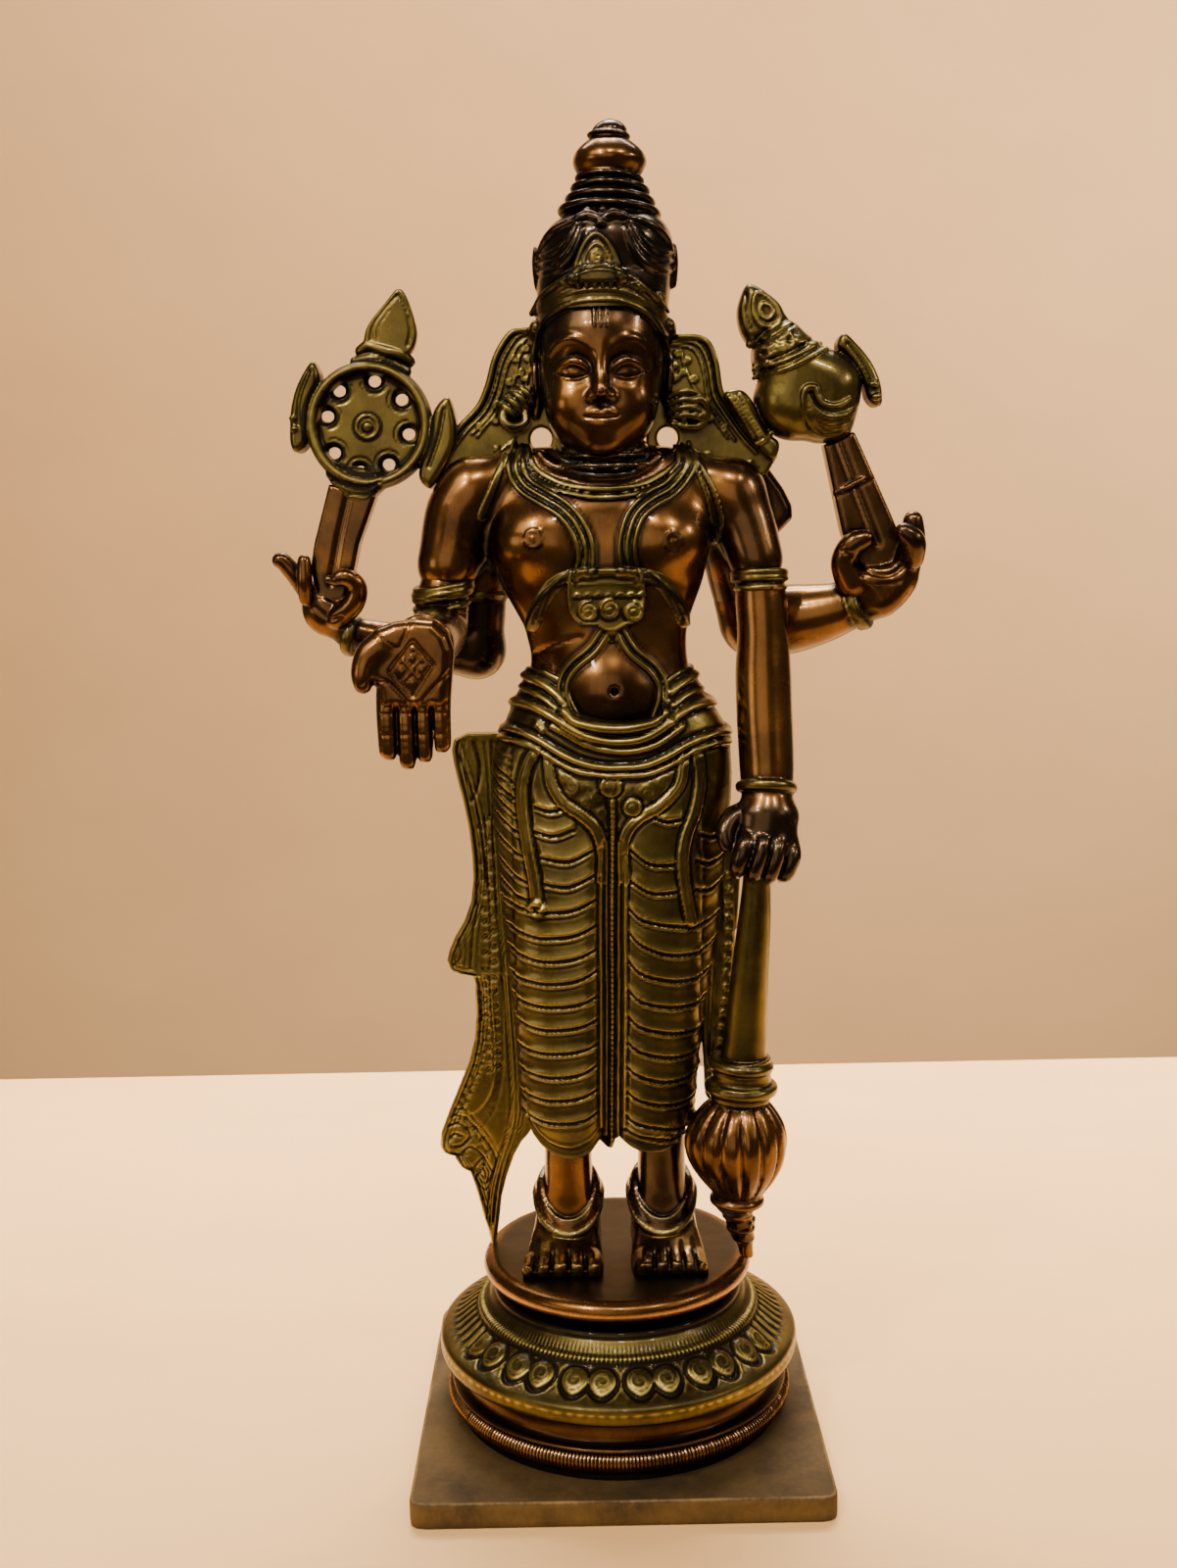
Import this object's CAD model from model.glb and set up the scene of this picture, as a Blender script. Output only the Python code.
import math
import time
from functools import partial

import bpy
import numpy as np
from mathutils import Matrix, Vector


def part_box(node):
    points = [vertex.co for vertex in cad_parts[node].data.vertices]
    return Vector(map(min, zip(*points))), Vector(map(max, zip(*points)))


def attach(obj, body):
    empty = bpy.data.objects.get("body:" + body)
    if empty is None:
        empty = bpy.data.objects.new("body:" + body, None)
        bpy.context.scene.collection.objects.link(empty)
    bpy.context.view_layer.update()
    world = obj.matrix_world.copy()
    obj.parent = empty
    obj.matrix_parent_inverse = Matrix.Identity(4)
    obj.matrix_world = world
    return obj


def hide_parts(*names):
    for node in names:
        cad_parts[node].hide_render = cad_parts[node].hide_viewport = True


started = time.time()
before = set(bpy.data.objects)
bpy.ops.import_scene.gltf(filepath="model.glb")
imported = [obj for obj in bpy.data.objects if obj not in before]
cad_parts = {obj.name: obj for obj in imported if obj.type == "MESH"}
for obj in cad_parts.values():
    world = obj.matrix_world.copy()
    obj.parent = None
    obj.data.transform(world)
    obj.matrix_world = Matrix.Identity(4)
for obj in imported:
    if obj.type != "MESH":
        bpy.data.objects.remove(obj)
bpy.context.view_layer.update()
mm = 0.001
soleHeight = 65.6  # everything is drawn with the soles at this height in mm
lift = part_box("plinth")[1].z / mm - soleHeight
chance = np.random.default_rng(11)


def say(text):
    print(f"{time.time() - started:6.1f} s  {text}", flush=True)


say("frame loaded")


def bell(away, width):
    return np.exp(-(away / width) ** 2)


def fade(away, length):  # 0 at and below zero, 1 at length
    return np.clip(away / length, 0, 1)


# curves

def smooth(points, steps=8, closed=False):  # a soft curve through a few points
    p = np.array(points, float)
    n = len(p)
    if closed:
        p = np.vstack([p[-1:], p, p[:2]])
    else:
        p = np.vstack([2 * p[0] - p[1], p, 2 * p[-1] - p[-2]])
        n -= 1
    t = np.linspace(0, 1, steps, endpoint=False)[:, None]
    out = []
    for i in range(1, n + 1):
        a, b, c, d = p[i - 1], p[i], p[i + 1], p[i + 2]
        cubic = (3 * b - a - 3 * c + d) * t ** 3
        out.append(0.5 * (2 * b + (c - a) * t + (2 * a - 5 * b + 4 * c - d) * t ** 2 + cubic))
    out = np.vstack(out)
    return out if closed else np.vstack([out, p[-2]])


def lineGap(points, x, z, closed=False):  # distance from a flat line
    p = np.array(points, np.float32)
    if closed:
        p = np.vstack([p, p[:1]])
    best = None
    for (ax, az), (bx, bz) in zip(p[:-1], p[1:]):
        dx, dz = bx - ax, bz - az
        t = np.clip(((x - ax) * dx + (z - az) * dz) / (dx * dx + dz * dz + 1e-9), 0, 1)
        gap = (x - ax - t * dx) ** 2 + (z - az - t * dz) ** 2
        best = gap if best is None else np.minimum(best, gap)
    return np.sqrt(best)


def within(points, x, z):  # signed distance from a closed outline, negative inside
    gap = lineGap(points, x, z, closed=True)
    p = np.array(points, np.float32)
    inside = np.zeros(gap.shape, bool)
    for (ax, az), (bx, bz) in zip(p, np.roll(p, -1, axis=0)):
        if az == bz:
            continue
        inside ^= ((az > z) != (bz > z)) & (x < (bx - ax) * (z - az) / (bz - az) + ax)
    return np.where(inside, -gap, gap)


def spiral(cx, cz, radius, turns, start=0.0, hand=1, steps=40):
    t = np.linspace(0, 1, steps)
    a = math.radians(start) + hand * 2 * math.pi * turns * t
    r = radius * (1 - 0.86 * t)
    return np.stack([cx + r * np.cos(a), cz + r * np.sin(a)], 1)


def arc(cx, cz, wide, tall, angles):
    return [(cx + wide * math.cos(a), cz + tall * math.sin(a)) for a in angles]


def circle(cx, cz, wide, tall, count):
    return arc(cx, cz, wide, tall, np.linspace(0, 2 * math.pi, count, endpoint=False))


def across(path):  # unit vectors across a flat line
    d = np.gradient(path, axis=0)
    return np.stack([-d[:, 1], d[:, 0]], -1) / (np.linalg.norm(d, axis=1, keepdims=True) + 1e-9)


def mirrored(cx, s, points):  # s is -1 or 1
    return [(cx + s * p[0], *p[1:]) for p in points]


# a winding stem with a coil on each side in turn
def scrolls(path, size, count, hand=1, turns=1.5, steps=26):
    p = smooth(path, 12)
    out = [p]
    for i in range(count):
        k = int((i + 0.5) / count * (len(p) - 2))
        d = (p[k + 1] - p[k]) / (np.linalg.norm(p[k + 1] - p[k]) + 1e-9)
        side = hand * (-1) ** i
        c = p[k] + size * side * np.array([-d[1], d[0]])
        start = math.degrees(math.atan2(p[k][1] - c[1], p[k][0] - c[0]))
        out.append(spiral(c[0], c[1], size, turns, start, side, steps))
    return out


# shapes: each is (low corner, high corner, distance function)

def turnOf(angles):
    x, y, z = (Matrix.Rotation(math.radians(a), 3, axis) for a, axis in zip(angles, "XYZ"))
    return np.array(z @ y @ x, np.float32)


def egg(c, r, turn=None):
    c, r = np.array(c, np.float32), np.array(r if np.ndim(r) else (r, r, r), np.float32)
    reach = r if turn is None else np.full(3, r.max(), np.float32)
    m = None if turn is None else turnOf(turn).T

    def gap(x, y, z):
        x, y, z = x - c[0], y - c[1], z - c[2]
        if m is not None:
            x, y, z = (m[i, 0] * x + m[i, 1] * y + m[i, 2] * z for i in range(3))
        near = np.sqrt((x / r[0]) ** 2 + (y / r[1]) ** 2 + (z / r[2]) ** 2)
        steep = np.sqrt((x / r[0] ** 2) ** 2 + (y / r[1] ** 2) ** 2 + (z / r[2] ** 2) ** 2) + 1e-6
        return near * (near - 1) / steep

    return c - reach, c + reach, gap


def bone(a, b, ra, rb):
    a, b = np.array(a, np.float32), np.array(b, np.float32)
    ab = b - a
    size = float(ab @ ab) + 1e-9
    reach = max(ra, rb)

    def gap(x, y, z):
        x, y, z = x - a[0], y - a[1], z - a[2]
        t = fade(x * ab[0] + y * ab[1] + z * ab[2], size)
        away = np.sqrt((x - t * ab[0]) ** 2 + (y - t * ab[1]) ** 2 + (z - t * ab[2]) ** 2)
        return away - (ra + t * (rb - ra))

    return np.minimum(a, b) - reach, np.maximum(a, b) + reach, gap


def rope(points, radii, steps=5, closed=False):  # a rounded line through points, radii per point or one
    p = np.array(points, float)
    r = np.full((len(p), 1), radii, float) if np.ndim(radii) == 0 else np.array(radii, float)[:, None]
    q = smooth(np.hstack([p, r]), steps, closed)
    if closed:
        q = np.vstack([q, q[:1]])
    return [bone(u[:3], v[:3], max(u[3], 0.05), max(v[3], 0.05)) for u, v in zip(q[:-1], q[1:])]


def hoop(c, axis, radius, tube, wide=1.0, oval=1.0):  # a ring, wide stretches its band along the axis
    c, n = np.array(c, np.float32), np.array(axis, np.float32)
    n = n / np.linalg.norm(n)
    reach = radius * max(oval, 1) + tube * max(wide, 1)

    def gap(x, y, z):
        x, y, z = x - c[0], (y - c[1]) / oval, z - c[2]
        h = x * n[0] + y * n[1] + z * n[2]
        out = np.sqrt(np.maximum(x * x + y * y + z * z - h * h, 0)) - radius
        return np.sqrt(out * out + (h / wide) ** 2) - tube

    return c - reach, c + reach, gap


def slab(outline, middle, half, rim=0.8, holes=()):  # an upright plate across Y with rounded rims
    p = np.array(outline, np.float32)
    low = np.array([p[:, 0].min(), middle - half, p[:, 1].min()], np.float32)
    high = np.array([p[:, 0].max(), middle + half, p[:, 1].max()], np.float32)

    def gap(x, y, z):
        flat = within(p, x, z)
        for hole in holes:
            flat = np.maximum(flat, -within(hole, x, z))
        out, deep = flat + rim, np.abs(y - middle) - half + rim
        inner = np.minimum(np.maximum(out, deep), 0)
        return np.sqrt(np.maximum(out, 0) ** 2 + np.maximum(deep, 0) ** 2) + inner - rim

    return low, high, gap


def stacked(rows, power=2.3):  # level ovals (z, middle x, middle y, half width, front depth, back depth)
    table = smooth(sorted(rows), 6)

    def gap(x, y, z):
        at = [np.interp(z, table[:, 0], table[:, k]).astype(np.float32) for k in range(1, 6)]
        dx, dy = x - at[0], y - at[1]
        deep = np.where(dy < 0, at[3], at[4])
        share = ((np.abs(dx) / at[2]) ** power + (np.abs(dy) / deep) ** power) ** (1 / power) + 1e-6
        side = (1 - 1 / share) * np.sqrt(dx * dx + dy * dy) * 0.92
        side = np.maximum(side, -0.9 * np.minimum(at[2], deep))
        return np.maximum(side, np.maximum(table[0, 0] - z, z - table[-1, 0]))

    low = (np.min(table[:, 1] - table[:, 3]), np.min(table[:, 2] - table[:, 4]), table[0, 0])
    high = (np.max(table[:, 1] + table[:, 3]), np.max(table[:, 2] + table[:, 5]), table[-1, 0])
    return np.array(low, np.float32), np.array(high, np.float32), gap


def softMin(a, b, k):
    if k <= 0:
        return np.minimum(a, b)
    h = np.maximum(k - np.abs(a - b), 0) / k
    return np.minimum(a, b) - h * h * (k / 4)


# clay: two distance fields on one grid, copper skin and brass trim

farAway = 8  # mm, the distance that an empty field holds


class Clay:
    def __init__(self, spec):
        self.spec = spec
        self.low = np.array(spec["low"], np.float32)
        self.cell = spec["cell"]
        self.count = [int(math.ceil((h - l) / self.cell)) + 1 for l, h in zip(spec["low"], spec["high"])]
        self.skin = np.full(self.count, farAway, np.float32)
        self.trim = np.full(self.count, farAway, np.float32)
        self.ground = None
        self.dark = []

    # old dirt along a line, by its distance in the front view
    def shade(self, line, width, side=-1, share=1.0, steps=6):
        soft = smooth(line, steps) if len(line) > 2 and steps > 1 else np.array(line, float)
        self.dark.append((soft, width, side, share))

    def freeze(self):  # later lines are laid on the body as it is now
        self.ground = np.minimum(self.skin, self.trim)

    def window(self, low, high, pad):
        cut, axes = [], []
        for k in range(3):
            a = max(0, int((low[k] - pad - self.low[k]) / self.cell))
            b = min(self.count[k], int(math.ceil((high[k] + pad - self.low[k]) / self.cell)) + 1)
            if a >= b:
                return None
            cut.append(slice(a, b))
            shape = [1, 1, 1]
            shape[k] = b - a
            axes.append((self.low[k] + np.arange(a, b, dtype=np.float32) * self.cell).reshape(shape))
        return tuple(cut), axes

    def add(self, shapes, k=0.0, brass=False, cut=False):
        group = shapes if isinstance(shapes, list) else [shapes]
        if k < 1 or len(group) == 1:
            for shape in group:
                self.join(*shape, k, brass, cut)
            return
        low, high = np.min([shape[0] for shape in group], 0), np.max([shape[1] for shape in group], 0)

        def whole(x, y, z):  # the group is one form before it blends in
            d = group[0][2](x, y, z)
            for shape in group[1:]:
                d = softMin(d, shape[2](x, y, z), 0.5)
            return d

        self.join(low, high, whole, k, brass, cut)

    def join(self, low, high, gap, k, brass, cut):
        found = self.window(low, high, k + 2.5)
        if found is None:
            return
        where, (x, y, z) = found
        d = gap(x, y, z)
        if cut:
            self.skin[where] = -softMin(-self.skin[where], d, k)
            self.trim[where] = -softMin(-self.trim[where], d, k)
        elif brass:
            self.trim[where] = softMin(self.trim[where], d, k)
        else:
            self.skin[where] = softMin(self.skin[where], d, k)

    # a window over an outline, on the front (-1) or back half
    def flatWindow(self, p, pad, side, reach=None):
        low = [p[:, 0].min(), self.low[1], p[:, 1].min()]
        high = [p[:, 0].max(), self.low[1] + self.count[1] * self.cell, p[:, 1].max()]
        reach = self.spec["middle"] if reach is None else reach
        if side < 0:
            high[1] = reach
        else:
            low[1] = reach
        return self.window(low, high, pad)

    def band(self, line, half, rise, ridges=0, side=-1, reach=None):  # a raised brass band along a line
        p = smooth(line, 6) if len(line) > 2 else np.array(line, float)
        found = self.flatWindow(p, half + 1.5, side, reach)
        if found is None:
            return
        where, (x, y, z) = found
        gap = lineGap(p, x, z)
        share = fade(gap, half)
        top = rise * (1 - share ** 4) ** 0.5
        if ridges:
            top = top * (0.62 + 0.38 * np.abs(np.cos(share * math.pi * ridges / 2)))
        raised = np.maximum(self.skin[where] - top, gap - half)
        self.trim[where] = np.minimum(self.trim[where], raised)

    def patch(self, outline, rise, reach=None, rim=0.7):  # a raised brass sheet on the front
        p = np.array(outline, float)
        where, (x, y, z) = self.flatWindow(p, 2, -1, reach)
        flat = within(p, x, z)
        body = np.minimum(self.skin[where], self.trim[where])
        raised = -softMin(-(body - rise), -flat, rim)
        self.trim[where] = np.minimum(self.trim[where], raised)

    def engrave(self, line, width, depth, side=-1, reach=None, closed=False, curve=True):
        p = smooth(line, 6, closed) if curve and len(line) > 2 else np.array(line, float)
        if closed:
            p = np.vstack([p, p[:1]])
        found = self.flatWindow(p, 3 * width, side, reach)
        if found is None:
            return
        where, (x, y, z) = found
        low = depth * bell(lineGap(p, x, z), width)
        self.skin[where] += low
        self.trim[where] += low

    def frontOf(self, points, side=-1, lift=0.0):  # lays [x, z] points on the surface
        field = np.minimum(self.skin, self.trim) if self.ground is None else self.ground
        out = []
        for x, z in np.array(points, float)[:, :2]:
            i = int(np.clip(round((x - self.low[0]) / self.cell), 0, self.count[0] - 1))
            k = int(np.clip(round((z - self.low[2]) / self.cell), 0, self.count[2] - 1))
            column = field[i, :, k] if side < 0 else field[i, ::-1, k]
            j = int(np.argmax(column < 0)) if (column < 0).any() else int(np.argmin(column))
            t = float(column[j - 1] / (column[j - 1] - column[j] + 1e-9)) if j > 0 and column[j] < 0 else 0
            depth = (j - 1 + t) * self.cell
            y = self.low[1] + depth if side < 0 else self.low[1] + (self.count[1] - 1) * self.cell - depth
            out.append((x, y + side * lift, z))
        return np.array(out)

    # a cord laid on it
    def strand(self, line, radius, lift=0.0, steps=6, k=0.0, closed=False, brass=True, side=-1):
        flat = smooth(line, steps, closed)
        laid = self.frontOf(flat, side, lift)
        kernel = np.array([1, 2, 3, 2, 1]) / 9
        laid[:, 1] = np.convolve(np.pad(laid[:, 1], 2, mode="edge"), kernel, "valid")
        if np.ndim(radius):
            radius = np.interp(np.linspace(0, 1, len(laid)), np.linspace(0, 1, len(radius)), radius)
        self.add(rope(laid, radius, 1, closed), k, brass)

    def sample(self, field, p):  # field value at points, in between the grid's
        q = (p - self.low) / self.cell
        q = np.clip(q, 0, np.array(self.count) - 1.001)
        i = q.astype(np.int32)
        f = (q - i).astype(np.float32)
        parts = [(1 - f[:, k], f[:, k]) for k in range(3)]
        out = 0
        for a in (0, 1):
            for b in (0, 1):
                for c in (0, 1):
                    w = parts[0][a] * parts[1][b] * parts[2][c]
                    out = out + w * field[i[:, 0] + a, i[:, 1] + b, i[:, 2] + c]
        return out

    def slope(self, field, p, h):
        out = np.empty(p.shape, np.float32)
        for k in range(3):
            step = np.zeros(3, np.float32)
            step[k] = h
            out[:, k] = self.sample(field, p + step) - self.sample(field, p - step)
        return out / (2 * h)

    def mesh(self, dull=None, warm=None, shell=0.0, worn=1.0):
        if shell:  # only the trim, as a thin skin over the body
            self.trim = np.maximum(self.trim, -(self.ground + shell))
            self.skin = np.full(self.count, farAway, np.float32)
        field = np.minimum(self.skin, self.trim)
        points, faces = withoutCrumbs(*netOf(field))
        points = self.low + points * self.cell
        for _ in range(2):
            g = self.slope(field, points, 0.5 * self.cell)
            steep = np.maximum((g * g).sum(1), 0.15)
            move = (self.sample(field, points) / steep)[:, None] * g
            points = points - np.clip(move, -0.4 * self.cell, 0.4 * self.cell)
        n = self.slope(field, points, 0.6 * self.cell)
        n = n / (np.linalg.norm(n, axis=1, keepdims=True) + 1e-9)
        hollow = 0
        for t, share in ((0.9, 0.4), (2.0, 0.35), (4.5, 0.25)):
            hollow = hollow + share * np.clip(1 - self.sample(field, points + n * t) / t, 0, 1)
        edge = worn * np.clip(1 + self.sample(field, points - n * 0.8) / 0.8, 0, 1)
        for line, width, side, share in self.dark:
            box = (points[:, 1] - self.spec["middle"]) * side > 0
            for axis, flat in ((0, line[:, 0]), (2, line[:, 1])):
                low, high = flat.min() - 2.5 * width, flat.max() + 2.5 * width
                box &= (points[:, axis] > low) & (points[:, axis] < high)
            if box.any():
                q = points[box]
                dirt = share * bell(lineGap(line, q[:, 0], q[:, 2]), width)
                hollow[box] = np.maximum(hollow[box], dirt)
        # above 0 where brass covers copper
        lead = self.sample(self.skin, points) - self.sample(self.trim, points)
        brass = np.clip(0.5 + lead / 0.25, 0, 1)
        if warm is not None:
            brass = np.maximum(brass, warm(points))
        layers = {"hollow": np.clip(hollow, 0, 1), "edge": edge, "brass": brass,
            "dull": np.zeros(len(points)) if dull is None else dull(points)}
        return buildMesh(self.spec, points, faces, n, layers)


def withoutCrumbs(points, faces, least=240):  # cuts can leave loose scraps of a few cells
    label = np.arange(len(points))
    while True:
        fresh = label.copy()
        np.minimum.at(fresh, faces.ravel(), np.repeat(label[faces].min(1), 4))
        fresh = fresh[fresh]
        if (fresh == label).all():
            break
        label = fresh
    kept = np.bincount(label, minlength=len(points))[label] >= least
    return points[kept], (np.cumsum(kept) - 1)[faces[kept[faces[:, 0]]]]


def netOf(field):  # the surface where the field is zero, as quads
    inside = field < 0
    n = inside.shape
    corners = [(i, j, k) for i in (0, 1) for j in (0, 1) for k in (0, 1)]
    full = np.zeros([m - 1 for m in n], np.int8)
    for i, j, k in corners:
        full += inside[i:n[0] - 1 + i, j:n[1] - 1 + j, k:n[2] - 1 + k]
    cells = np.argwhere((full > 0) & (full < 8))
    index = np.full(full.shape, -1, np.int32)
    index[tuple(cells.T)] = np.arange(len(cells))
    value = [field[cells[:, 0] + i, cells[:, 1] + j, cells[:, 2] + k] for i, j, k in corners]
    total, weight = np.zeros((len(cells), 3), np.float32), np.zeros(len(cells), np.float32)
    for a in range(8):
        for b in range(a + 1, 8):
            step = np.subtract(corners[b], corners[a])
            if np.abs(step).sum() != 1:
                continue
            crossed = (value[a] < 0) != (value[b] < 0)
            t = np.where(crossed, value[a] / (value[a] - value[b] + 1e-12), 0)
            total += crossed[:, None] * (np.array(corners[a]) + t[:, None] * step)
            weight += crossed
    points = cells + total / weight[:, None]
    faces = []
    for axis in range(3):
        u, v = [k for k in range(3) if k != axis]
        first = [slice(None)] * 3
        second = [slice(None)] * 3
        first[axis], second[axis] = slice(0, n[axis] - 1), slice(1, n[axis])
        for s in (first, second):
            s[u], s[v] = slice(1, n[u] - 1), slice(1, n[v] - 1)
        low, high = inside[tuple(first)], inside[tuple(second)]
        at = np.argwhere(low != high)
        flip = low[tuple(at.T)]
        at[:, u] += 1
        at[:, v] += 1
        quad = []
        for du, dv in ((-1, -1), (0, -1), (0, 0), (-1, 0)):
            c = at.copy()
            c[:, u] += du
            c[:, v] += dv
            quad.append(index[tuple(c.T)])
        quad = np.stack(quad, 1)
        turned = flip if axis != 1 else ~flip
        faces.append(np.where(turned[:, None], quad, quad[:, ::-1]))
    return points.astype(np.float32), np.vstack(faces)


underGrime, underShade = 0.28, 0.65  # grime stays on the undersides, hands rub the rest
counted = []


def buildMesh(spec, points, faces, normals, layers):
    points = np.asarray(points, np.float32).copy()
    if spec.get("rides", "figure") == "figure":
        points[:, 2] += lift
    mesh = bpy.data.meshes.new(spec["name"])
    mesh.vertices.add(len(points))
    mesh.vertices.foreach_set("co", (points * mm).astype(np.float32).ravel())
    size = faces.shape[1]
    mesh.loops.add(faces.size)
    mesh.loops.foreach_set("vertex_index", faces.astype(np.int32).ravel())
    mesh.polygons.add(len(faces))
    mesh.polygons.foreach_set("loop_start", np.arange(0, faces.size, size, dtype=np.int32))
    mesh.polygons.foreach_set("use_smooth", np.ones(len(faces), bool))
    mesh.update(calc_edges=True)
    mesh.validate()
    facing = np.empty(points.size, np.float32)
    mesh.vertices.foreach_get("normal", facing)
    under = np.clip(-(facing[2::3] if normals is None else normals[:, 2]), 0, 1)
    layers["hollow"] = np.clip(layers["hollow"] + underGrime * under, 0, 1)
    layers["edge"] = layers["edge"] * (1 - underShade * under)
    for name, values in layers.items():
        layer = mesh.attributes.new(name, "FLOAT", "POINT")
        layer.data.foreach_set("value", np.asarray(values, np.float32).ravel())
    if normals is not None:
        mesh.normals_split_custom_set_from_vertices(normals.astype(np.float32))
    piece = bpy.data.objects.new(spec["name"], mesh)
    bpy.context.scene.collection.objects.link(piece)
    triangles = len(faces) * (size - 2)
    counted.append(triangles)
    say(f"{spec['name']}: {triangles} triangles")
    return piece


def gridMesh(spec, rings, layers, capLow=True, capHigh=True):  # closed rings of points, first at the bottom
    rows, columns = rings.shape[:2]
    a = (np.arange(rows - 1)[:, None] * columns + np.arange(columns)[None, :])
    b = (np.arange(rows - 1)[:, None] * columns + (np.arange(columns)[None, :] + 1) % columns)
    quads = np.stack([a, b, b + columns, a + columns], -1).reshape(-1, 4)
    points = rings.reshape(-1, 3)
    flat = {k: np.broadcast_to(v, (rows, columns)).ravel() for k, v in layers.items()}
    extra = []
    for wanted, row, order in ((capLow, 0, -1), (capHigh, rows - 1, 1)):
        if not wanted:
            continue
        middle = len(points)
        points = np.vstack([points, rings[row].mean(0)])
        flat = {k: np.append(v, v[row * columns:(row + 1) * columns].mean()) for k, v in flat.items()}
        ring = row * columns + np.arange(columns)
        for i in range(0, columns, 2):
            c = [ring[i], ring[(i + 1) % columns], ring[(i + 2) % columns], middle]
            extra.append(c if order > 0 else c[::-1])
    if extra:
        quads = np.vstack([quads, extra])
    return buildMesh(spec, points, quads, None, flat)


def blurred(a, size, wrap=True):  # box blur of a grid, twice
    out = a.astype(float)
    for _ in range(2):
        for axis in (0, 1):
            pad = [(0, 0), (0, 0)]
            pad[axis] = (size, size)
            p = np.pad(out, pad, mode="wrap" if axis == 1 and wrap else "edge")
            c = np.cumsum(p, axis=axis)
            c = np.concatenate([np.zeros_like(np.take(c, [0], axis)), c], axis)
            n = out.shape[axis]
            width = 2 * size + 1
            out = (np.take(c, np.arange(width, width + n), axis) - np.take(c, np.arange(n), axis)) / width
    return out


# materials

def colour(text):  # sRGB hex to linear
    out = []
    for i in (0, 2, 4):
        v = int(text[i:i + 2], 16) / 255
        out.append(v / 12.92 if v <= 0.04045 else ((v + 0.055) / 1.055) ** 2.4)
    return (*out, 1)


def plug(tree, node, inputs):  # an input is a value or another node's output
    for slot, value in (inputs.items() if isinstance(inputs, dict) else enumerate(inputs)):
        if isinstance(value, bpy.types.NodeSocket):
            tree.links.new(value, node.inputs[slot])
        else:
            node.inputs[slot].default_value = value


def addNode(tree, kind, settings, inputs, out=0):
    node = tree.nodes.new("ShaderNode" + kind)
    for key, value in settings.items():
        setattr(node, key, value)
    plug(tree, node, inputs)
    return node.outputs[out]


baseRoughness = 0.18  # rubbed and waxed cast metal
toneNames = ("worn", "warm", "body", "brown", "dark")
copperTones = dict(zip(toneNames, map(colour, ("deb07c", "9a6a36", "7d5b33", "46301c", "170f08"))))
brassTones = dict(zip(toneNames, map(colour, ("ccbb66", "8c7e42", "706636", "484026", "17130a"))))
smokyTones = [colour(text) for text in ("3a3026", "514234", "0b0908", "a89078")]
# mm, detail, roughness, stretch along Z
patternSizes = {"blotch": (22, 4, 0.55, 1), "mottle": (6, 4, 0.6, 1), "fine": (2.2, 5, 0.6, 1),
    "brushed": (0.7, 3, 0.6, 0.2), "waves": (11, 1, 0.4, 1)}


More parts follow.
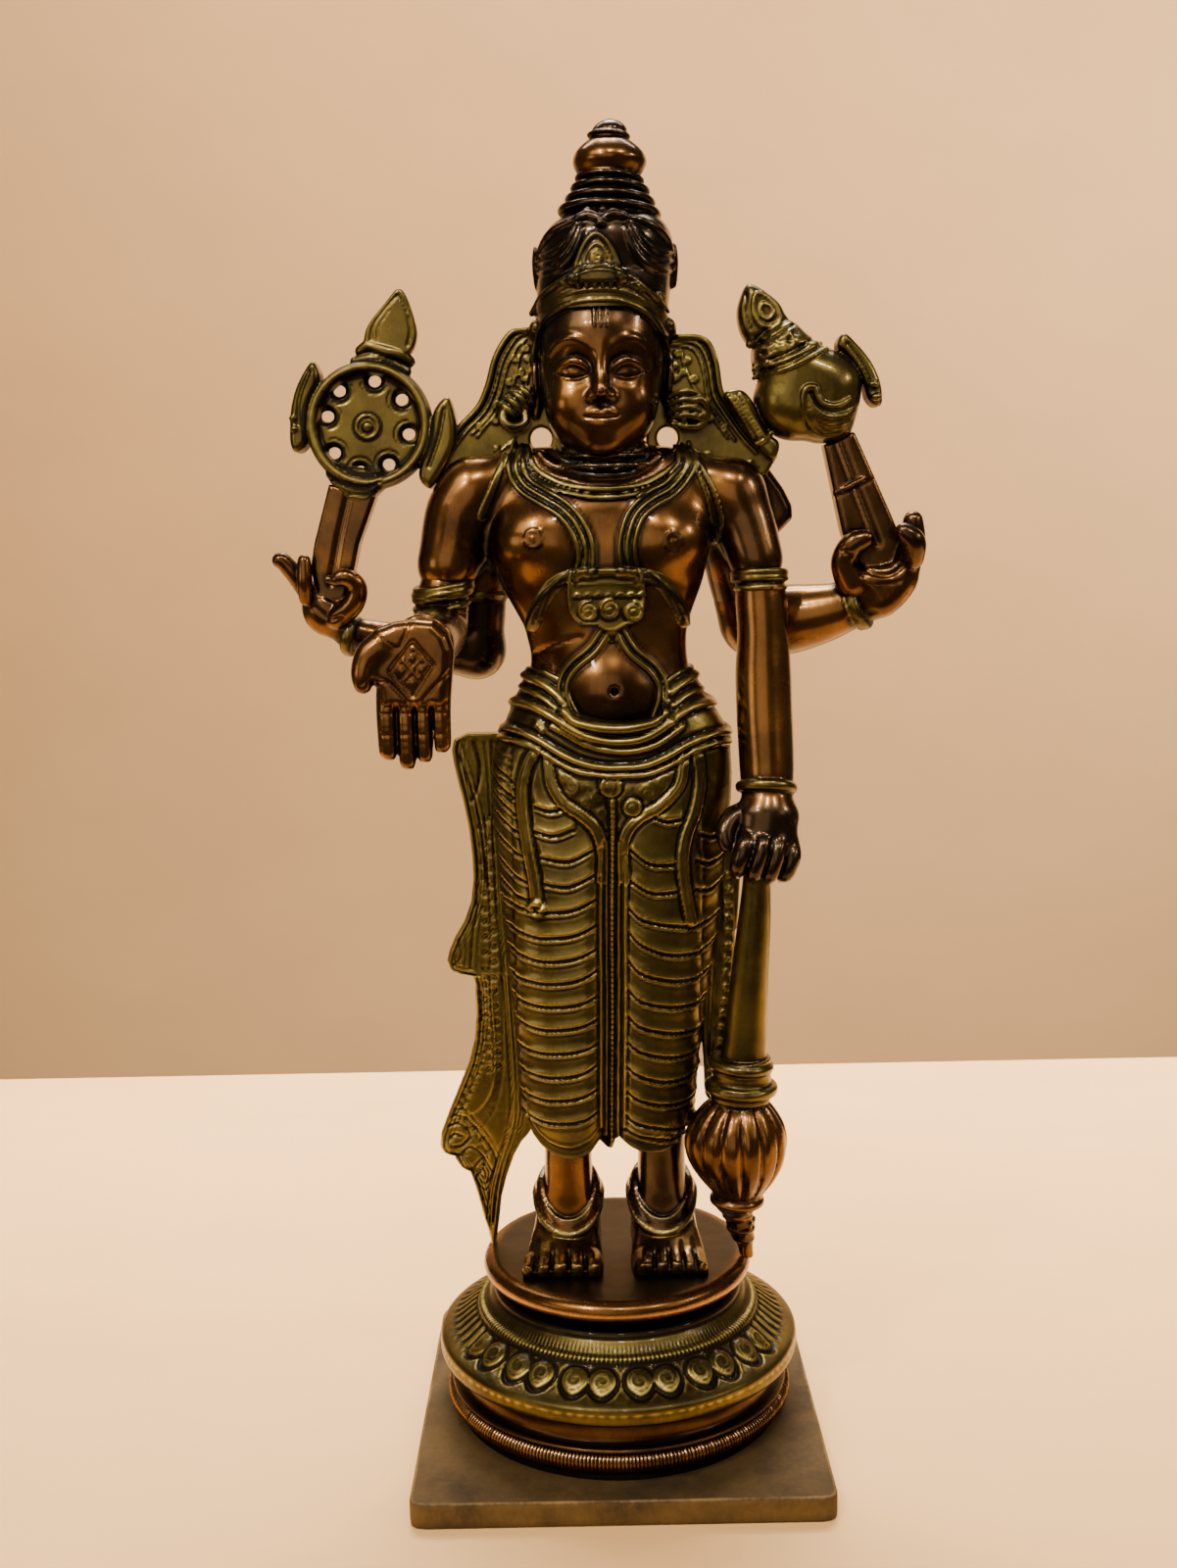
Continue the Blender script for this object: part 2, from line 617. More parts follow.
def castMetal(name, dullness=0.0, grain=1.0, wax=0.25):
    # cast and chased copper with brass trim, browned by age: dark in the hollows, bright where hands rub it
    material = bpy.data.materials.new(name)
    material.use_nodes = True
    tree = material.node_tree
    node = partial(addNode, tree)
    times, timesPlus = {"operation": "MULTIPLY"}, {"operation": "MULTIPLY_ADD"}
    mixed = {"data_type": "RGBA"}
    place = node("TexCoord", {}, {}, "Object")
    hollow, edge, brass, dull = (node("Attribute", {"attribute_name": k}, {}, "Fac")
        for k in ("hollow", "edge", "brass", "dull"))
    patterns = []
    for size, detail, rough, stretch in patternSizes.values():
        source = node("Mapping", {}, {"Vector": place, "Scale": (1, 1, stretch)})
        patterns.append(node("TexNoise", {},
            {"Vector": source, "Scale": 1 / (size * mm), "Detail": detail, "Roughness": rough}))
    blotch, mottle, fine, brushed, waves = patterns
    age = node("MapRange", {}, [node("Math", timesPlus, [mottle, 0.3, blotch]), 0.52, 0.82])
    crisp = node("MapRange", {}, [brass, 0.35, 0.65])
    dirt = node("MapRange", {}, [node("Math", timesPlus, [fine, 0.12, hollow]), 0.12, 0.5])
    wear = node("MapRange", {}, [node("Math", timesPlus, [fine, -0.45, edge]), 0.08, 0.7])
    streak = node("Math", timesPlus, [mottle, 0.75, node("Math", times, [brushed, 0.25])])
    streak = node("MapRange", {}, [streak, 0.48, 0.7])
    metals = []
    for tones, rub in ((copperTones, 0.5), (brassTones, 0.6)):
        body = node("Mix", mixed, {0: age, 6: tones["body"], 7: tones["brown"]}, 2)
        for share, paint in ((node("Math", times, [streak, 0.4]), "warm"), (dirt, "dark"),
                (node("Math", times, [wear, rub]), "worn")):
            body = node("Mix", mixed, {0: share, 6: body, 7: tones[paint]}, 2)
        metals.append(body)
    base = node("Mix", mixed, {0: crisp, 6: metals[0], 7: metals[1]}, 2)
    smoky = smokyTones[0]  # the dull dark skin of the places that nobody rubs
    for share, paint in zip((streak, dirt, node("Math", times, [wear, 0.6])), smokyTones[1:]):
        smoky = node("Mix", mixed, {0: share, 6: smoky, 7: paint}, 2)
    old = node("MapRange", {}, [node("Math", timesPlus, [dull, 0.6, blotch]), 0.3, 0.65])
    old = node("Math", {"operation": "MULTIPLY", "use_clamp": True}, [dull, old])
    old = node("Math", times, [old, node("Math", timesPlus, [crisp, -0.8, 1.0])])
    base = node("Mix", mixed, {0: old, 6: base, 7: smoky}, 2)
    grime = node("MapRange", {}, [hollow, 0.15, 0.7])
    rough = baseRoughness + 0.25 * dullness
    for source, share in ((grime, 0.3), (fine, 0.06), (mottle, 0.1), (crisp, 0.06)):
        rough = node("Math", timesPlus, [source, share, rough])
    hammered = node("Math", times, [fine, node("Math", timesPlus, [crisp, 0.6 * grain, 0.05 * grain])])
    wavy = node("Math", timesPlus, [waves, 1.5 * grain, hammered])
    # old wax, for the small sharp lights
    plug(tree, tree.nodes["Principled BSDF"],
        {"Base Color": base, "Roughness": rough,
        "Metallic": node("Math", timesPlus, [grime, -0.08, 1 - 0.4 * dullness]),
        "Normal": node("Bump", {}, {"Strength": 0.35, "Distance": 0.4 * mm, "Height": wavy}),
        "Coat Weight": wax, "Coat Roughness": 0.08})
    return material


figureMetal = castMetal("patinatedCopperAndBrass")
plinthMetal = castMetal("patinatedBrassPlinth", 0.05, 1.2, 0.08)
plateMetal = castMetal("brownedBrassPlate", 1.5, 1.4, 0.05)


def finishPiece(piece, node, material):
    piece.data.materials.append(material)
    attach(piece, "root")
    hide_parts(node)


# head and crown

headSpec = {"name": "head", "cell": 0.56, "low": (-25.5, -28, 344), "high": (27, 24.5, 407), "middle": -4}


def headBody(clay):
    fx = -0.5
    clay.add(egg((0.4, 1, 383), (21.2, 20.4, 24)))
    clay.add(egg((fx * 0.5, -4, 371), (19.6, 16.6, 20)), 5)
    clay.add(egg((fx, -6.6, 360.5), (14.8, 13.4, 11)), 7)
    clay.add(egg((fx, -15.4, 354.2), (5.4, 4.6, 4.8)), 6)
    clay.add(egg((fx, -6, 389), (17.6, 14.8, 13)), 6)
    clay.add(stacked([(390, 0.8, 1, 20.6, 19.6, 19.6), (404, 1.2, 1, 22.3, 21.2, 20.8),
        (408, 1.4, 1, 22.4, 21.3, 20.9)], 2.05), 2)


def makeHead():
    clay = Clay(headSpec)
    fx = -0.5
    headBody(clay)
    for s in (-1, 1):
        clay.add(egg((fx + s * 9.8, -12.4, 366), (7.2, 7.4, 8)), 6)
    for s in (-1, 1):
        clay.add(egg((fx + s * 8.6, -22.6, 377.4), (6.8, 3.9, 4.6)), 3.4, cut=True)
    for s in (-1, 1):
        clay.add(egg((fx + s * 8.6, -13.9, 375.8), (6.3, 5.4, 4.3), (0, 0, s * 12)), 0.8)
        clay.add(rope(mirrored(fx, s, [(2.8, -18.3, 374.6), (5.2, -19.2, 377.6), (8.8, -19.3, 379.2),
            (12.4, -17.4, 378.0), (15.0, -14.6, 375.4)]), [0.5, 0.95, 1.15, 1.0, 0.5]), 0.9)
        clay.add(rope(mirrored(fx, s, [(3.0, -18.2, 374.2), (5.6, -18.8, 372.5), (9, -18.6, 371.9),
            (12.4, -16.8, 372.9), (15.0, -14.4, 375.2)]), [0.4, 0.6, 0.7, 0.6, 0.4]), 0.9)
        clay.add(rope(mirrored(fx, s, [(2.4, -19.2, 383.0), (5.2, -19.6, 385.3), (9.4, -18.8, 386.6),
            (13.4, -16.2, 385.3), (16.8, -12.2, 381.8)]), [0.7, 1.0, 1.05, 0.9, 0.5]), 1.5)
    clay.add(rope([(fx, -18.6, 384), (fx, -20.0, 379), (fx, -22.0, 373), (fx, -23.6, 369.2)],
        [1.7, 1.6, 1.8, 2.2]), 3.0)
    for s in (-1, 1):
        clay.add(egg((fx + s * 2.8, -20.9, 367.6), (2.0, 2.3, 1.7)), 1.8)
    clay.add(egg((fx, -18.4, 359.8), (7.8, 3.2, 4.0)), 3)
    clay.add(rope([(fx - 5.6, -18.8, 361.5), (fx - 3.2, -20.6, 362.2), (fx - 1.4, -21.1, 362.6),
        (fx, -21.1, 362.2), (fx + 1.4, -21.1, 362.6), (fx + 3.2, -20.6, 362.2), (fx + 5.6, -18.8, 361.5)],
        [0.6, 1.1, 1.25, 1.15, 1.25, 1.1, 0.6]), 1.6)
    clay.add(rope([(fx - 4.8, -18.8, 360.1), (fx - 2.4, -19.9, 359.2), (fx, -20.2, 358.9),
        (fx + 2.4, -19.9, 359.2), (fx + 4.8, -18.8, 360.1)], [0.6, 1.35, 1.6, 1.35, 0.6]), 1.8)
    clay.engrave([(fx - 5.6, 361.2), (fx - 3.2, 360.8), (fx, 360.6), (fx + 3.2, 360.8), (fx + 5.6, 361.2)],
        0.5, 0.4)
    clay.engrave([(fx, 365), (fx, 363.6)], 0.7, 0.35)
    for s in (-1, 1):
        clay.engrave(mirrored(fx, s, [(3.8, 374.9), (6, 374.2), (8.8, 373.9), (11.8, 374.3),
            (13.8, 375.4)]), 0.4, 0.35)
    clay.freeze()
    for x in (-2.5, -0.4, 1.7):  # the three lines on the forehead
        clay.strand([(x, 397), (x + 0.12 * (-0.4 - x), 390)], 0.5, k=0.4, brass=False)
    for s in (-1, 1):  # long ears
        clay.add(egg((0.4 + s * 21.6, 3, 375), (2.2, 4.4, 8.6), (0, s * 5, s * 14)), 1.2)
        clay.add(rope(mirrored(0.4, s, [(22.6, -0.6, 371), (23, -0.6, 378), (22.8, 3, 383),
            (22.6, 6.6, 378)]), [0.9, 1.0, 1.0, 0.8]), 0.6)
        clay.add(rope(mirrored(0.4, s, [(22.4, 2, 369), (23, 1, 363.6)]), [2.2, 1.6]), 1.5)
    lower = [(-22.6, 384), (-21.2, 389.4), (-19.2, 392.6), (-15.4, 395.6), (-9.3, 397.6), (-0.7, 398.2),
        (7, 397.6), (14, 395), (18.6, 391), (21, 387), (23.4, 381)]
    upper = [(24.2, 393), (21.6, 396.4), (18.6, 398.6), (15.4, 401), (10.2, 404.6), (6, 406.6), (6, 408),
        (-6, 408), (-6, 406.6), (-11.4, 404.9), (-16.1, 402.8), (-20, 400.2), (-22.8, 396.6)]
    clay.patch(lower + upper, 1.5, 2)
    clay.strand(lower, 1.3, 1.1, 4, 0.2)
    clay.strand([(x * 0.985, z + 3.3) for x, z in lower[1:-1]], 0.85, 1.5, 4, 0.2)
    for s, x in ((-1, -21.4), (1, 22.4)):  # the diadem's ends run back over the ears
        clay.add(rope([(x, -4, 392), (x + s * 0.9, 2, 391), (x + s * 0.6, 9, 391.4),
            (x - s * 4, 17, 392.6)], [2.6, 2.4, 2.2, 1.6]), 0.5, True)
    clay.add(rope([(-17.4, 17, 392.6), (-9, 20.8, 393.4), (1, 22.2, 393.8), (11, 20.8, 393.4),
        (18.4, 17, 392.6)], 1.7), 0.5, True)
    for a in np.radians(np.linspace(-75, 75, 21)):  # combed hair at the nape
        x = 0.6 + 20.4 * math.sin(a)
        clay.engrave([(x, 389), (x, 371), (x * 0.9, 357)], 0.5, 0.5, 1, 5)
    for s in (-1, 1):
        clay.shade(mirrored(fx, s, [(3.4, 378.0), (5.6, 380.0), (9, 381.2), (13, 380), (15.4, 377.2)]),
            0.6, share=0.4)
        clay.shade(mirrored(fx, s, [(4.6, 374.9), (8.8, 374.1), (13, 375.1)]), 0.4, share=0.6)
    clay.shade([(fx - 5.2, 361.2), (fx - 3.2, 360.8), (fx, 360.6), (fx + 3.2, 360.8), (fx + 5.2, 361.2)],
        0.4, share=0.55)
    clay.shade([(x * 0.99, z - 1.6) for x, z in lower], 0.9, share=0.9)
    clay.shade([(x * 0.985, z + 1.9) for x, z in lower[1:-1]], 0.6, share=0.9)

    def dull(p):  # the hair, the back, the neck and the sides
        x, y, z = p.T
        neck, sides = fade(353 - z, 4), fade(np.abs(x) - 13, 5)
        return 0.75 * fade(z - 383, 8) + 0.6 * (y > 2) + 0.8 * neck + 0.5 * sides

    return clay.mesh(dull, worn=0.6)


crownSpec = {"name": "crown", "cell": 0.66, "low": (-26.5, -29, 396), "high": (29.5, 26, 461), "middle": -4}
crownRows = [(396, 1.0, 1, 21.6, 20.6, 20.2), (404, 1.2, 1, 22.2, 21.0, 20.8),
    (415, 2.2, 1, 22.4, 21.0, 20.8), (420, 2.6, 1, 22.0, 20.6, 20.6), (423.2, 2.9, 1, 20.8, 19.4, 19.4),
    (425.8, 3.1, 1, 18.8, 17.6, 17.6), (427.8, 3.3, 1, 16.2, 15.2, 15.2), (430, 3.6, 1, 13.8, 13.0, 13.0),
    (434, 4, 1, 12.2, 11.6, 11.6), (438, 4, 1, 10.4, 10.0, 10.0), (440.6, 3.7, 1, 9.6, 9.3, 9.3),
    (442.4, 3.9, 1, 11.0, 10.6, 10.6), (445.6, 4, 1, 12.4, 12, 12), (448.8, 3.8, 1, 11.4, 11, 11),
    (451.6, 3.6, 1, 8.6, 8.4, 8.4), (453.4, 3.7, 1, 6.2, 6, 6), (456.2, 4.1, 1, 5.9, 5.8, 5.8),
    (458.4, 4.2, 1, 3.9, 3.8, 3.8), (459.5, 4.2, 1, 1.4, 1.4, 1.4)]


def makeCrown():
    clay = Clay(crownSpec)
    headBody(clay)
    clay.add(stacked(crownRows, 2.05), 1.0)
    clay.freeze()
    for z, x, r, tube in ((429.4, 3.6, 15.6, 1.9), (433.2, 3.9, 13.6, 1.7), (436.9, 4, 12.0, 1.45),
            (440.2, 3.8, 10.7, 1.1), (454.2, 3.8, 6.6, 0.8)):
        clay.add(hoop((x, 1, z), (0.06, 0.05, 1), r, tube, 0.8, 0.95), 0.15)
    folds = [
        ([(-5.4, 421.5), (-7.2, 416.2), (-9.8, 411.8), (-13.6, 409.0), (-18, 408.8), (-21.6, 410.8)],
            [0.7, 1.2, 1.45, 1.45, 1.2, 0.6]),
        ([(-6.3, 422.6), (-8.4, 417.8), (-11, 414.2), (-14.4, 411.9), (-18, 411.7), (-21.2, 413.4)],
            [0.6, 1.0, 1.15, 1.15, 1.0, 0.6]),
        ([(-7.4, 423.2), (-9.8, 419.2), (-12.4, 416.4), (-15.6, 414.7), (-18.8, 414.8), (-20.8, 416)],
            [0.5, 0.85, 0.95, 0.95, 0.8, 0.5]),
        ([(-6.2, 424.6), (-11, 423.6), (-15.6, 421.6), (-19, 418.6), (-21.4, 414)],
            [1.0, 1.4, 1.4, 1.2, 0.8])]
    grooves = [
        ([(-6.0, 421.6), (-7.9, 416.9), (-10.4, 413), (-14, 410.5), (-18, 410.3), (-21.2, 412)], 0.45),
        ([(-7.0, 422.6), (-9.1, 418.4), (-11.7, 415.3), (-15, 413.3), (-18.4, 413.3), (-20.8, 414.6)], 0.4),
        ([(-8.4, 422.4), (-10.8, 419.4), (-13, 417.6), (-16, 416.2), (-19.4, 416.4)], 0.7),
        ([(-8.4, 422.2), (-13, 421.2), (-17, 419), (-19.6, 416.6)], 0.5)]
    for side in (-1, 1):  # draped cloth, in front and the same way behind
        for s in (-1, 1):
            lay = (lambda x: x) if s < 0 else (lambda x: -x * 1.06 + 2.4)
            for line, radii in folds:
                clay.strand([(lay(x), z) for x, z in line], radii, -0.2, 6, 0.5, brass=False, side=side)
            for line, width in grooves:
                clay.shade([(lay(x), z) for x, z in line], width, side, 0.85)
        clay.strand([(-7.0, 425.0), (-3.2, 425.6), (0.6, 424.2), (4.4, 425.6), (8.2, 425)],
            [1.3, 1.6, 1.3, 1.6, 1.3], 0.4, 5, 0.8, brass=False, side=side)
        for x, z, r in ((-3.4, 427, 1.6), (1.2, 427.4, 1.4), (4.2, 426.2, 1.5), (0.4, 422.6, 1.5)):
            y = clay.frontOf([(x, z)], side)[0][1]
            clay.add(egg((x, y + side * 1.0, z), (r * 1.2, r * 0.8, r)), 0.6)
    for x, s in ((-20.6, -1), (24.4, 1)):
        clay.add(rope([(x, 0.5, 406), (x + s * 0.6, 0.5, 413), (x + s * 0.9, 0.5, 418.6)],
            [1.5, 1.4, 0.7]), 0.6)
    gable = [(-8.9, 405), (-7.6, 410), (-5.8, 414.4), (-3.8, 417.4), (-1.2, 418.9), (1.6, 417.2),
        (3.6, 414.2), (5.4, 409.8), (7.0, 405)]
    brow = [(-23.2, 397), (-20, 401.2), (-16.1, 403.4), (-11.4, 405.5), (-5.9, 407.4), (-0.5, 408.2),
        (4.9, 407.4), (10.2, 405.1), (15.4, 401.4), (18.6, 399), (21.6, 396.8), (23.6, 394)]
    clay.patch(gable, 1.6, 0)
    clay.strand(gable, 1.0, 1.5, 4, 0.15)
    clay.strand([(-5.8, 408.4), (-4.6, 412.6), (-1.2, 415.8), (2.2, 412.6), (3.6, 408.4)], 0.5, 1.9, 4)
    clay.strand(spiral(-1.1, 411.4, 2.1, 1.7, 90), 0.5, 1.9, 1)
    for x in (-4.4, 2.4):
        clay.strand(spiral(x, 408.4, 1.1, 1.1, 90), 0.4, 1.8, 1)
    clay.shade([(x * 0.8 - 0.1, z - 1.2) for x, z in gable], 0.45, share=0.8)
    clay.shade([(x * 1.2 - 0.1, z + 1.2) for x, z in gable], 0.7, share=0.7)
    clay.shade([(x, z + 1.6) for x, z in brow], 0.7, share=0.7)
    clay.shade([(x * 0.98, z - 1.2) for x, z in brow[1:-1]], 0.4, share=0.6)
    clay.patch([(-24, 395.5)] + brow + [(24.6, 395.5)], 1.3, 2)
    clay.strand(brow, 1.05, 1.3, 4, 0.15)
    clay.strand([(x * 0.97, z - 2.3) for x, z in brow[1:-1]], 0.6, 1.4, 4, 0.1)
    for i in range(6):  # short leaves at the middle of the diadem
        x = -5.9 + i * 2.15
        clay.strand([(x * 1.2, 402.4), (x * 1.1, 405.2), (x * 1.25, 408.6 - 0.03 * x * x)],
            [0.9, 1.05, 0.4], 1.9, 3)
    for x, z, hand in ((-12, 403.4, -1), (11, 402.8, 1)):
        clay.strand([(x - 3.4 * hand, z + 0.6), (x, z + 0.2), (x + 3 * hand, z - 1.6)], [0.4, 0.9, 0.4],
            1.6, 4)
    clay.strand(spiral(19.6, 400.0, 1.7, 1.3, 0), 0.5, 1.6, 1)
    clay.strand(spiral(-19.4, 400.6, 1.7, 1.3, 180, -1), 0.5, 1.6, 1)
    return clay.mesh(lambda p: fade(442.5 - p[:, 2], 2) + fade(p[:, 2] - 453, 1.5) + 0.6 * (p[:, 1] > 4))


# torso with shoulders

torsoSpec = {"name": "torso_and_shoulders", "cell": 1.12, "low": (-69, -32, 254), "high": (69, 28, 357),
    "middle": 3}
chestSpec = {"name": "necklaces_and_straps", "cell": 0.63, "low": (-44.6, -28.6, 256),
    "high": (42.6, 22, 355.5), "middle": 3}
chestRows = [(254, 2.2, 0.8, 37, 18.5, 19.5), (262, 1.8, 0.5, 34, 18, 19), (268, 1.5, 0, 31.5, 17.6, 18.4),
    (272, 1.2, 0, 30, 17.2, 18), (276, 1.1, 0, 28, 16.6, 17), (282, 0.9, 0, 27.1, 16, 16),
    (288, 0.3, 0, 27.6, 15.8, 16), (292, 0.1, 0, 28.4, 15.8, 16), (297, -0.4, 0, 30.4, 16, 16),
    (307, -1.2, 0, 34.8, 16.6, 17), (318, -2, 0, 38.2, 17, 18), (330, -1, 0.5, 39.6, 16, 18),
    (338, 0, 1, 37, 13.6, 17), (344, 0.5, 2, 30, 11.6, 15), (350, 0.8, 2.5, 19, 10, 12)]
strapLeft = [(-27.5, 354), (-29.6, 346), (-26.8, 340), (-20, 335.4), (-14, 331.5), (-9.5, 326.1),
    (-6.9, 319.5), (-6.5, 314.2), (-7.2, 311.2)]
strapRight = [(27, 353), (28.6, 345.6), (22.6, 338), (16.1, 334.3), (11, 329.9), (8.2, 323.8),
    (7.3, 317.8), (7.9, 311.2)]


def torsoBody(clay):
    clay.add(stacked(chestRows, 2.25))
    clay.add([egg((-20, -8.2, 321), (16.4, 10.6, 12.6)), egg((17.8, -8.2, 320.4), (16.2, 10.6, 12.6))], 5)
    clay.add(egg((1.8, -8.6, 271), (15, 11, 12)), 7)
    for s, x in ((-1, 0.2), (1, 0.8)):  # shoulder blades
        clay.add(egg((x + s * 17, 12, 326), (12, 8, 15), (0, s * 14, 0)), 6)
    clay.engrave([(0.6, 340), (0.4, 310), (0.9, 282)], 2.4, 1.5, 1, 8)
    clay.add(rope([(-12, 3, 344), (-28, 2.6, 343), (-44, 2, 338.6)], [9.5, 9.6, 11.2]), 4)
    clay.add(rope([(12, 3, 344), (28, 2.4, 341.6), (43.6, 2, 336.4)], [9.5, 9.6, 11]), 4)
    clay.add(rope([(-44.8, 2, 338.4), (-49.6, 0.6, 331), (-52.6, -0.8, 318), (-54, -1.8, 313.4)],
        [11.3, 11.5, 10.9, 10.3]), 4)
    clay.add(rope([(44.2, 2, 336.6), (48.4, 0.4, 326), (51, -1.4, 317), (52, -2.1, 313.4)],
        [11, 10.2, 9.5, 9.1]), 4)
    clay.add(rope([(-39.4, 10, 334), (-43, 15, 318), (-45, 19, 303), (-45.6, 20, 299)],
        [10.4, 10, 9.6, 8.4]), 4)
    clay.add(rope([(41, 10, 334), (45, 15.5, 316), (48.4, 20, 303), (49, 20.6, 299)],
        [10.4, 10.2, 10, 8.4]), 4)
    clay.add(slab([(44, 349), (51, 349.5), (57.9, 345.2), (63.1, 338), (66.1, 332), (66.3, 327.5),
        (61.4, 322.6), (50, 318), (44, 326)], 14, 5.5, 3.5), 3)
    clay.add(rope([(0.6, 1, 340), (0.5, 0.6, 352), (0.4, 0.4, 357)], [13.8, 13, 12.8]), 3)
    clay.freeze()


ornamentLines = []  # where the brass meets the skin, for the dirt that gathers there


def makeTorso():
    clay = Clay(torsoSpec)
    torsoBody(clay)
    for z, r in ((353.4, 13.6), (350.6, 15.2), (347.6, 17.2)):  # neck folds
        clay.add(hoop((0.6, -0.6, z), (0, -0.12, 1), r, 1.0, 1, 0.86), 0.8)
    for x, z in ((-24, 322), (22.6, 320.1)):
        ring = circle(x, z, 2.6, 2.9, 12)
        clay.strand(ring, 0.5, 0.05, 2, 0.5, True, brass=False)
        y = clay.frontOf([(x, z)])[0][1]
        clay.add(egg((x, y + 0.5, z), (1.3, 1.3, 1.5)), 0.5)
    clay.add(egg((2.2, -20.2, 270.6), (1.2, 3, 1.2)), 1.4, cut=True)
    clay.engrave([(-24, 283), (-16, 287), (-9, 288.6)], 0.8, 0.6)
    clay.engrave([(-22.6, 280), (-15, 276)], 0.6, 0.35)
    clay.strand([(-21.6, 350.6), (-19, 347.4), (-14.5, 344.9), (-6.8, 342.9), (0.9, 342.2), (8.6, 342.8),
        (14.8, 345.5), (18.9, 349)], 1.5, 0, 4, 0.8, brass=False)
    for line, width in ornamentLines:
        clay.shade(line, max(width, 0.9), -1, 0.45, 1)
    for x, z in ((-24, 322), (22.6, 320.1)):
        clay.shade(arc(x, z, 3.3, 3.6, np.linspace(0, 6.3, 16)), 0.45, share=0.5)

    def dull(p):  # round the neck, on the back, the belly, the flanks and the right shoulder
        x, y, z = p.T
        neck = np.clip(1.3 - np.abs(x) / 26, 0, 1) * fade(z - 339, 4)
        back, belly = fade(y - 8, 5), 1 - fade(z - 266, 18)
        flanks = fade(np.abs(x - 0.5) - 24, 4) * (z < 306)
        return neck + 0.8 * back + 0.55 * belly + 0.35 * flanks + 0.55 * fade(x - 40, 6)

    return clay.mesh(dull)


# strands on a band, dirt between and beside them
def cord(clay, line, half, rise, lift, strands, shades, sideways=None):
    clay.band(line, half, rise)
    path = smooth(line, 6)
    sideways = across(path) if sideways is None else np.array(sideways)
    for off, radius in strands:
        clay.strand(path + sideways * off, radius, lift, 1)
    for off, width, share, dirt in shades:
        clay.shade(path + sideways * off, width, -1, share, 1)
        ornamentLines.append((path + sideways * off, dirt))


